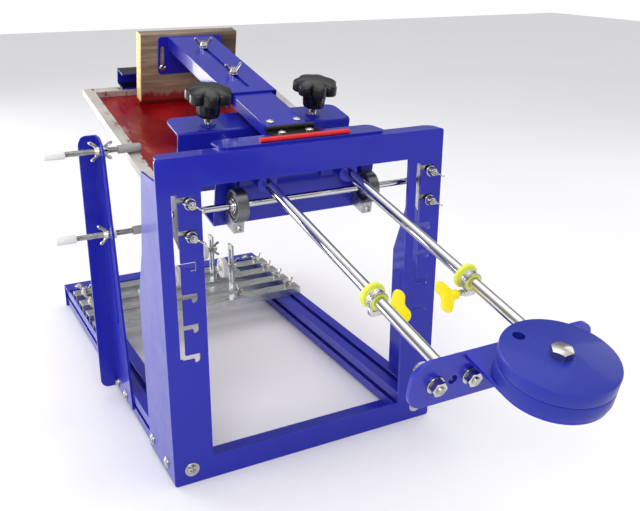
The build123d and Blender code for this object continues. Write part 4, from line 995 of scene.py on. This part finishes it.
# ------------------------------------------------------------------ squeegee
shape = Shape()
board = rounded_box(BOARD_FRONT, BOARD_BOTTOM, BOARD_REAR, BOARD_TOP, 1.8, 4)
levels = [(1.2, -BOARD_HALF), (0.4, -BOARD_HALF + 0.4), (0, -BOARD_HALF + 1.2),
          (0, BOARD_HALF - 1.2), (0.4, BOARD_HALF - 0.4), (1.2, BOARD_HALF)]
rings = [[ARM @ Vector((x, py, pz)) for py, pz in inset(board, d)] for d, x in levels]
shape.loft(rings[:3], 1)
shape.loft(rings[2:4], 0, caps=False)
shape.loft(rings[3:], 1)
shape.build("squeegee_board_grain", ["wood", "wood_end"], "squeegee",
            ["squeegee_board"], 50)

shape = Shape()
blade = [(363.45, -101.8), (364.4, -103.2), (370.5, -103.2), (371.45, -101.8), (371.45, -87),
         (363.45, -87)]
rings = [[ARM @ Vector((x, py, pz)) for py, pz in blade] for x in (-78.4, -78.0, 78.0, 78.4)]
shape.loft(rings)
shape.build("squeegee_blade_rubber", ["blade"], "squeegee", ["squeegee_blade"])

# ------------------------------------------------------------------ screen mesh
MESH_COLUMNS, MESH_ROWS = 60, 72
MESH_INSET, MESH_SAG = 1.2, 0.16
half = FRAME_HALF - MESH_INSET
front, rear = FRAME_FRONT + MESH_INSET, FRAME_REAR - MESH_INSET
mesh_top = FRAME_BOTTOM - 0.06
points, faces = [], []
for j in range(MESH_ROWS + 1):
    for i in range(MESH_COLUMNS + 1):
        x = -half + 2 * half * i / MESH_COLUMNS
        s = front + (rear - front) * j / MESH_ROWS
        sag = -MESH_SAG * math.sin(math.pi * i / MESH_COLUMNS) * math.sin(math.pi * j / MESH_ROWS)
        points.append(CARRIAGE @ Vector((x, s, mesh_top + sag)) * MM)
for j in range(MESH_ROWS):
    for i in range(MESH_COLUMNS):
        a = j * (MESH_COLUMNS + 1) + i
        faces.append((a, a + 1, a + MESH_COLUMNS + 2, a + MESH_COLUMNS + 1))
sheet = bpy.data.meshes.new("screen_mesh_sheet")
sheet.from_pydata(points, [], faces)
sheet.materials.append(LOOKS["mesh"])
mesh_piece = place_piece(sheet, "screen_mesh_sheet", "carriage", ("screen_mesh",), 60)


# ------------------------------------------------------------------ floor, light and camera
def stage_material(name, colour):
    """A matt, very faintly clouded floor."""
    paint = Paint(name, Base_Color=colour, Roughness=0.6)
    paint.colour(paint.mix(paint.span(paint.noise(2.0, 3.0), 0.3, 0.7, 0.0, 1.0), colour,
                           tuple(c * 0.985 for c in colour)))
    return paint.material


floor_mesh = bpy.data.meshes.new("floor")
reach = 6.0
floor_mesh.from_pydata([(-reach, -reach, 0), (reach, -reach, 0), (reach, reach, 0),
                        (-reach, reach, 0)], [],
                       [(0, 1, 2, 3)])
floor_mesh.materials.append(stage_material("floor", (0.86, 0.855, 0.88)))
floor = bpy.data.objects.new("floor", floor_mesh)
bpy.context.scene.collection.objects.link(floor)
floor.location.z = -0.0005

world = bpy.data.worlds.new("studio")
bpy.context.scene.world = world
world.use_nodes = True
tree = world.node_tree
background = tree.nodes["Background"]
coords = tree.nodes.new("ShaderNodeTexCoord")
split = tree.nodes.new("ShaderNodeSeparateXYZ")
ramp = tree.nodes.new("ShaderNodeValToRGB")
tree.links.new(coords.outputs["Generated"], split.inputs["Vector"])
tree.links.new(split.outputs["Z"], ramp.inputs["Fac"])
tree.links.new(ramp.outputs["Color"], background.inputs["Color"])
ramp.color_ramp.elements[0].position = 0.0
ramp.color_ramp.elements[0].color = (0.88, 0.87, 0.89, 1)
ramp.color_ramp.elements[1].position = 0.8
ramp.color_ramp.elements[1].color = (1.0, 1.0, 1.0, 1)
for height, grey in ((0.05, 0.70), (0.12, 0.20), (0.5, 0.26)):
    ramp.color_ramp.elements.new(height).color = (grey, grey, grey * 1.02, 1)
background.inputs["Strength"].default_value = 1.2
bpy.context.scene.view_settings.view_transform = "Standard"


def softbox(name, location, target, size, power):
    """A rectangular area light that faces a target."""
    data = bpy.data.lights.new(name, "AREA")
    data.shape = "RECTANGLE"
    data.size, data.size_y = size
    data.energy = power
    lamp = bpy.data.objects.new(name, data)
    lamp.location = location
    lamp.rotation_euler = (Vector(target) - Vector(location)).to_track_quat("-Z", "Y").to_euler()
    bpy.context.scene.collection.objects.link(lamp)


softbox("key_light", (-0.9, -1.9, 1.5), (0, 0.1, 0.2), (1.6, 1.2), 24)
softbox("top_light", (0.3, 0.4, 2.2), (0, 0.2, 0.2), (1.8, 1.4), 7)
softbox("side_light", (2.0, 0.2, 1.1), (0, 0.1, 0.25), (0.9, 1.4), 5)
softbox("left_glow", (-1.6, 2.3, 0.55), (-0.2, 0.1, 0.25), (1.7, 1.1), 42)
softbox("left_fill", (-2.4, 0.3, 0.9), (-0.1, 0.1, 0.3), (1.2, 1.2), 16)

# The photograph's viewpoint
camera_data = bpy.data.cameras.new("camera")
camera_data.sensor_width = 36.0
camera_data.lens = 46.25
camera = bpy.data.objects.new("camera", camera_data)
bpy.context.scene.collection.objects.link(camera)
HEADING, DOWNWARD, ROLL = 28.16, 20.54, 0.34
camera.location = (-0.4373, -0.8399, 0.6319)
aim = turned(z=-HEADING) @ turned(x=90 - DOWNWARD) @ turned(z=ROLL)
camera.rotation_euler = aim.to_euler()
bpy.context.scene.camera = camera
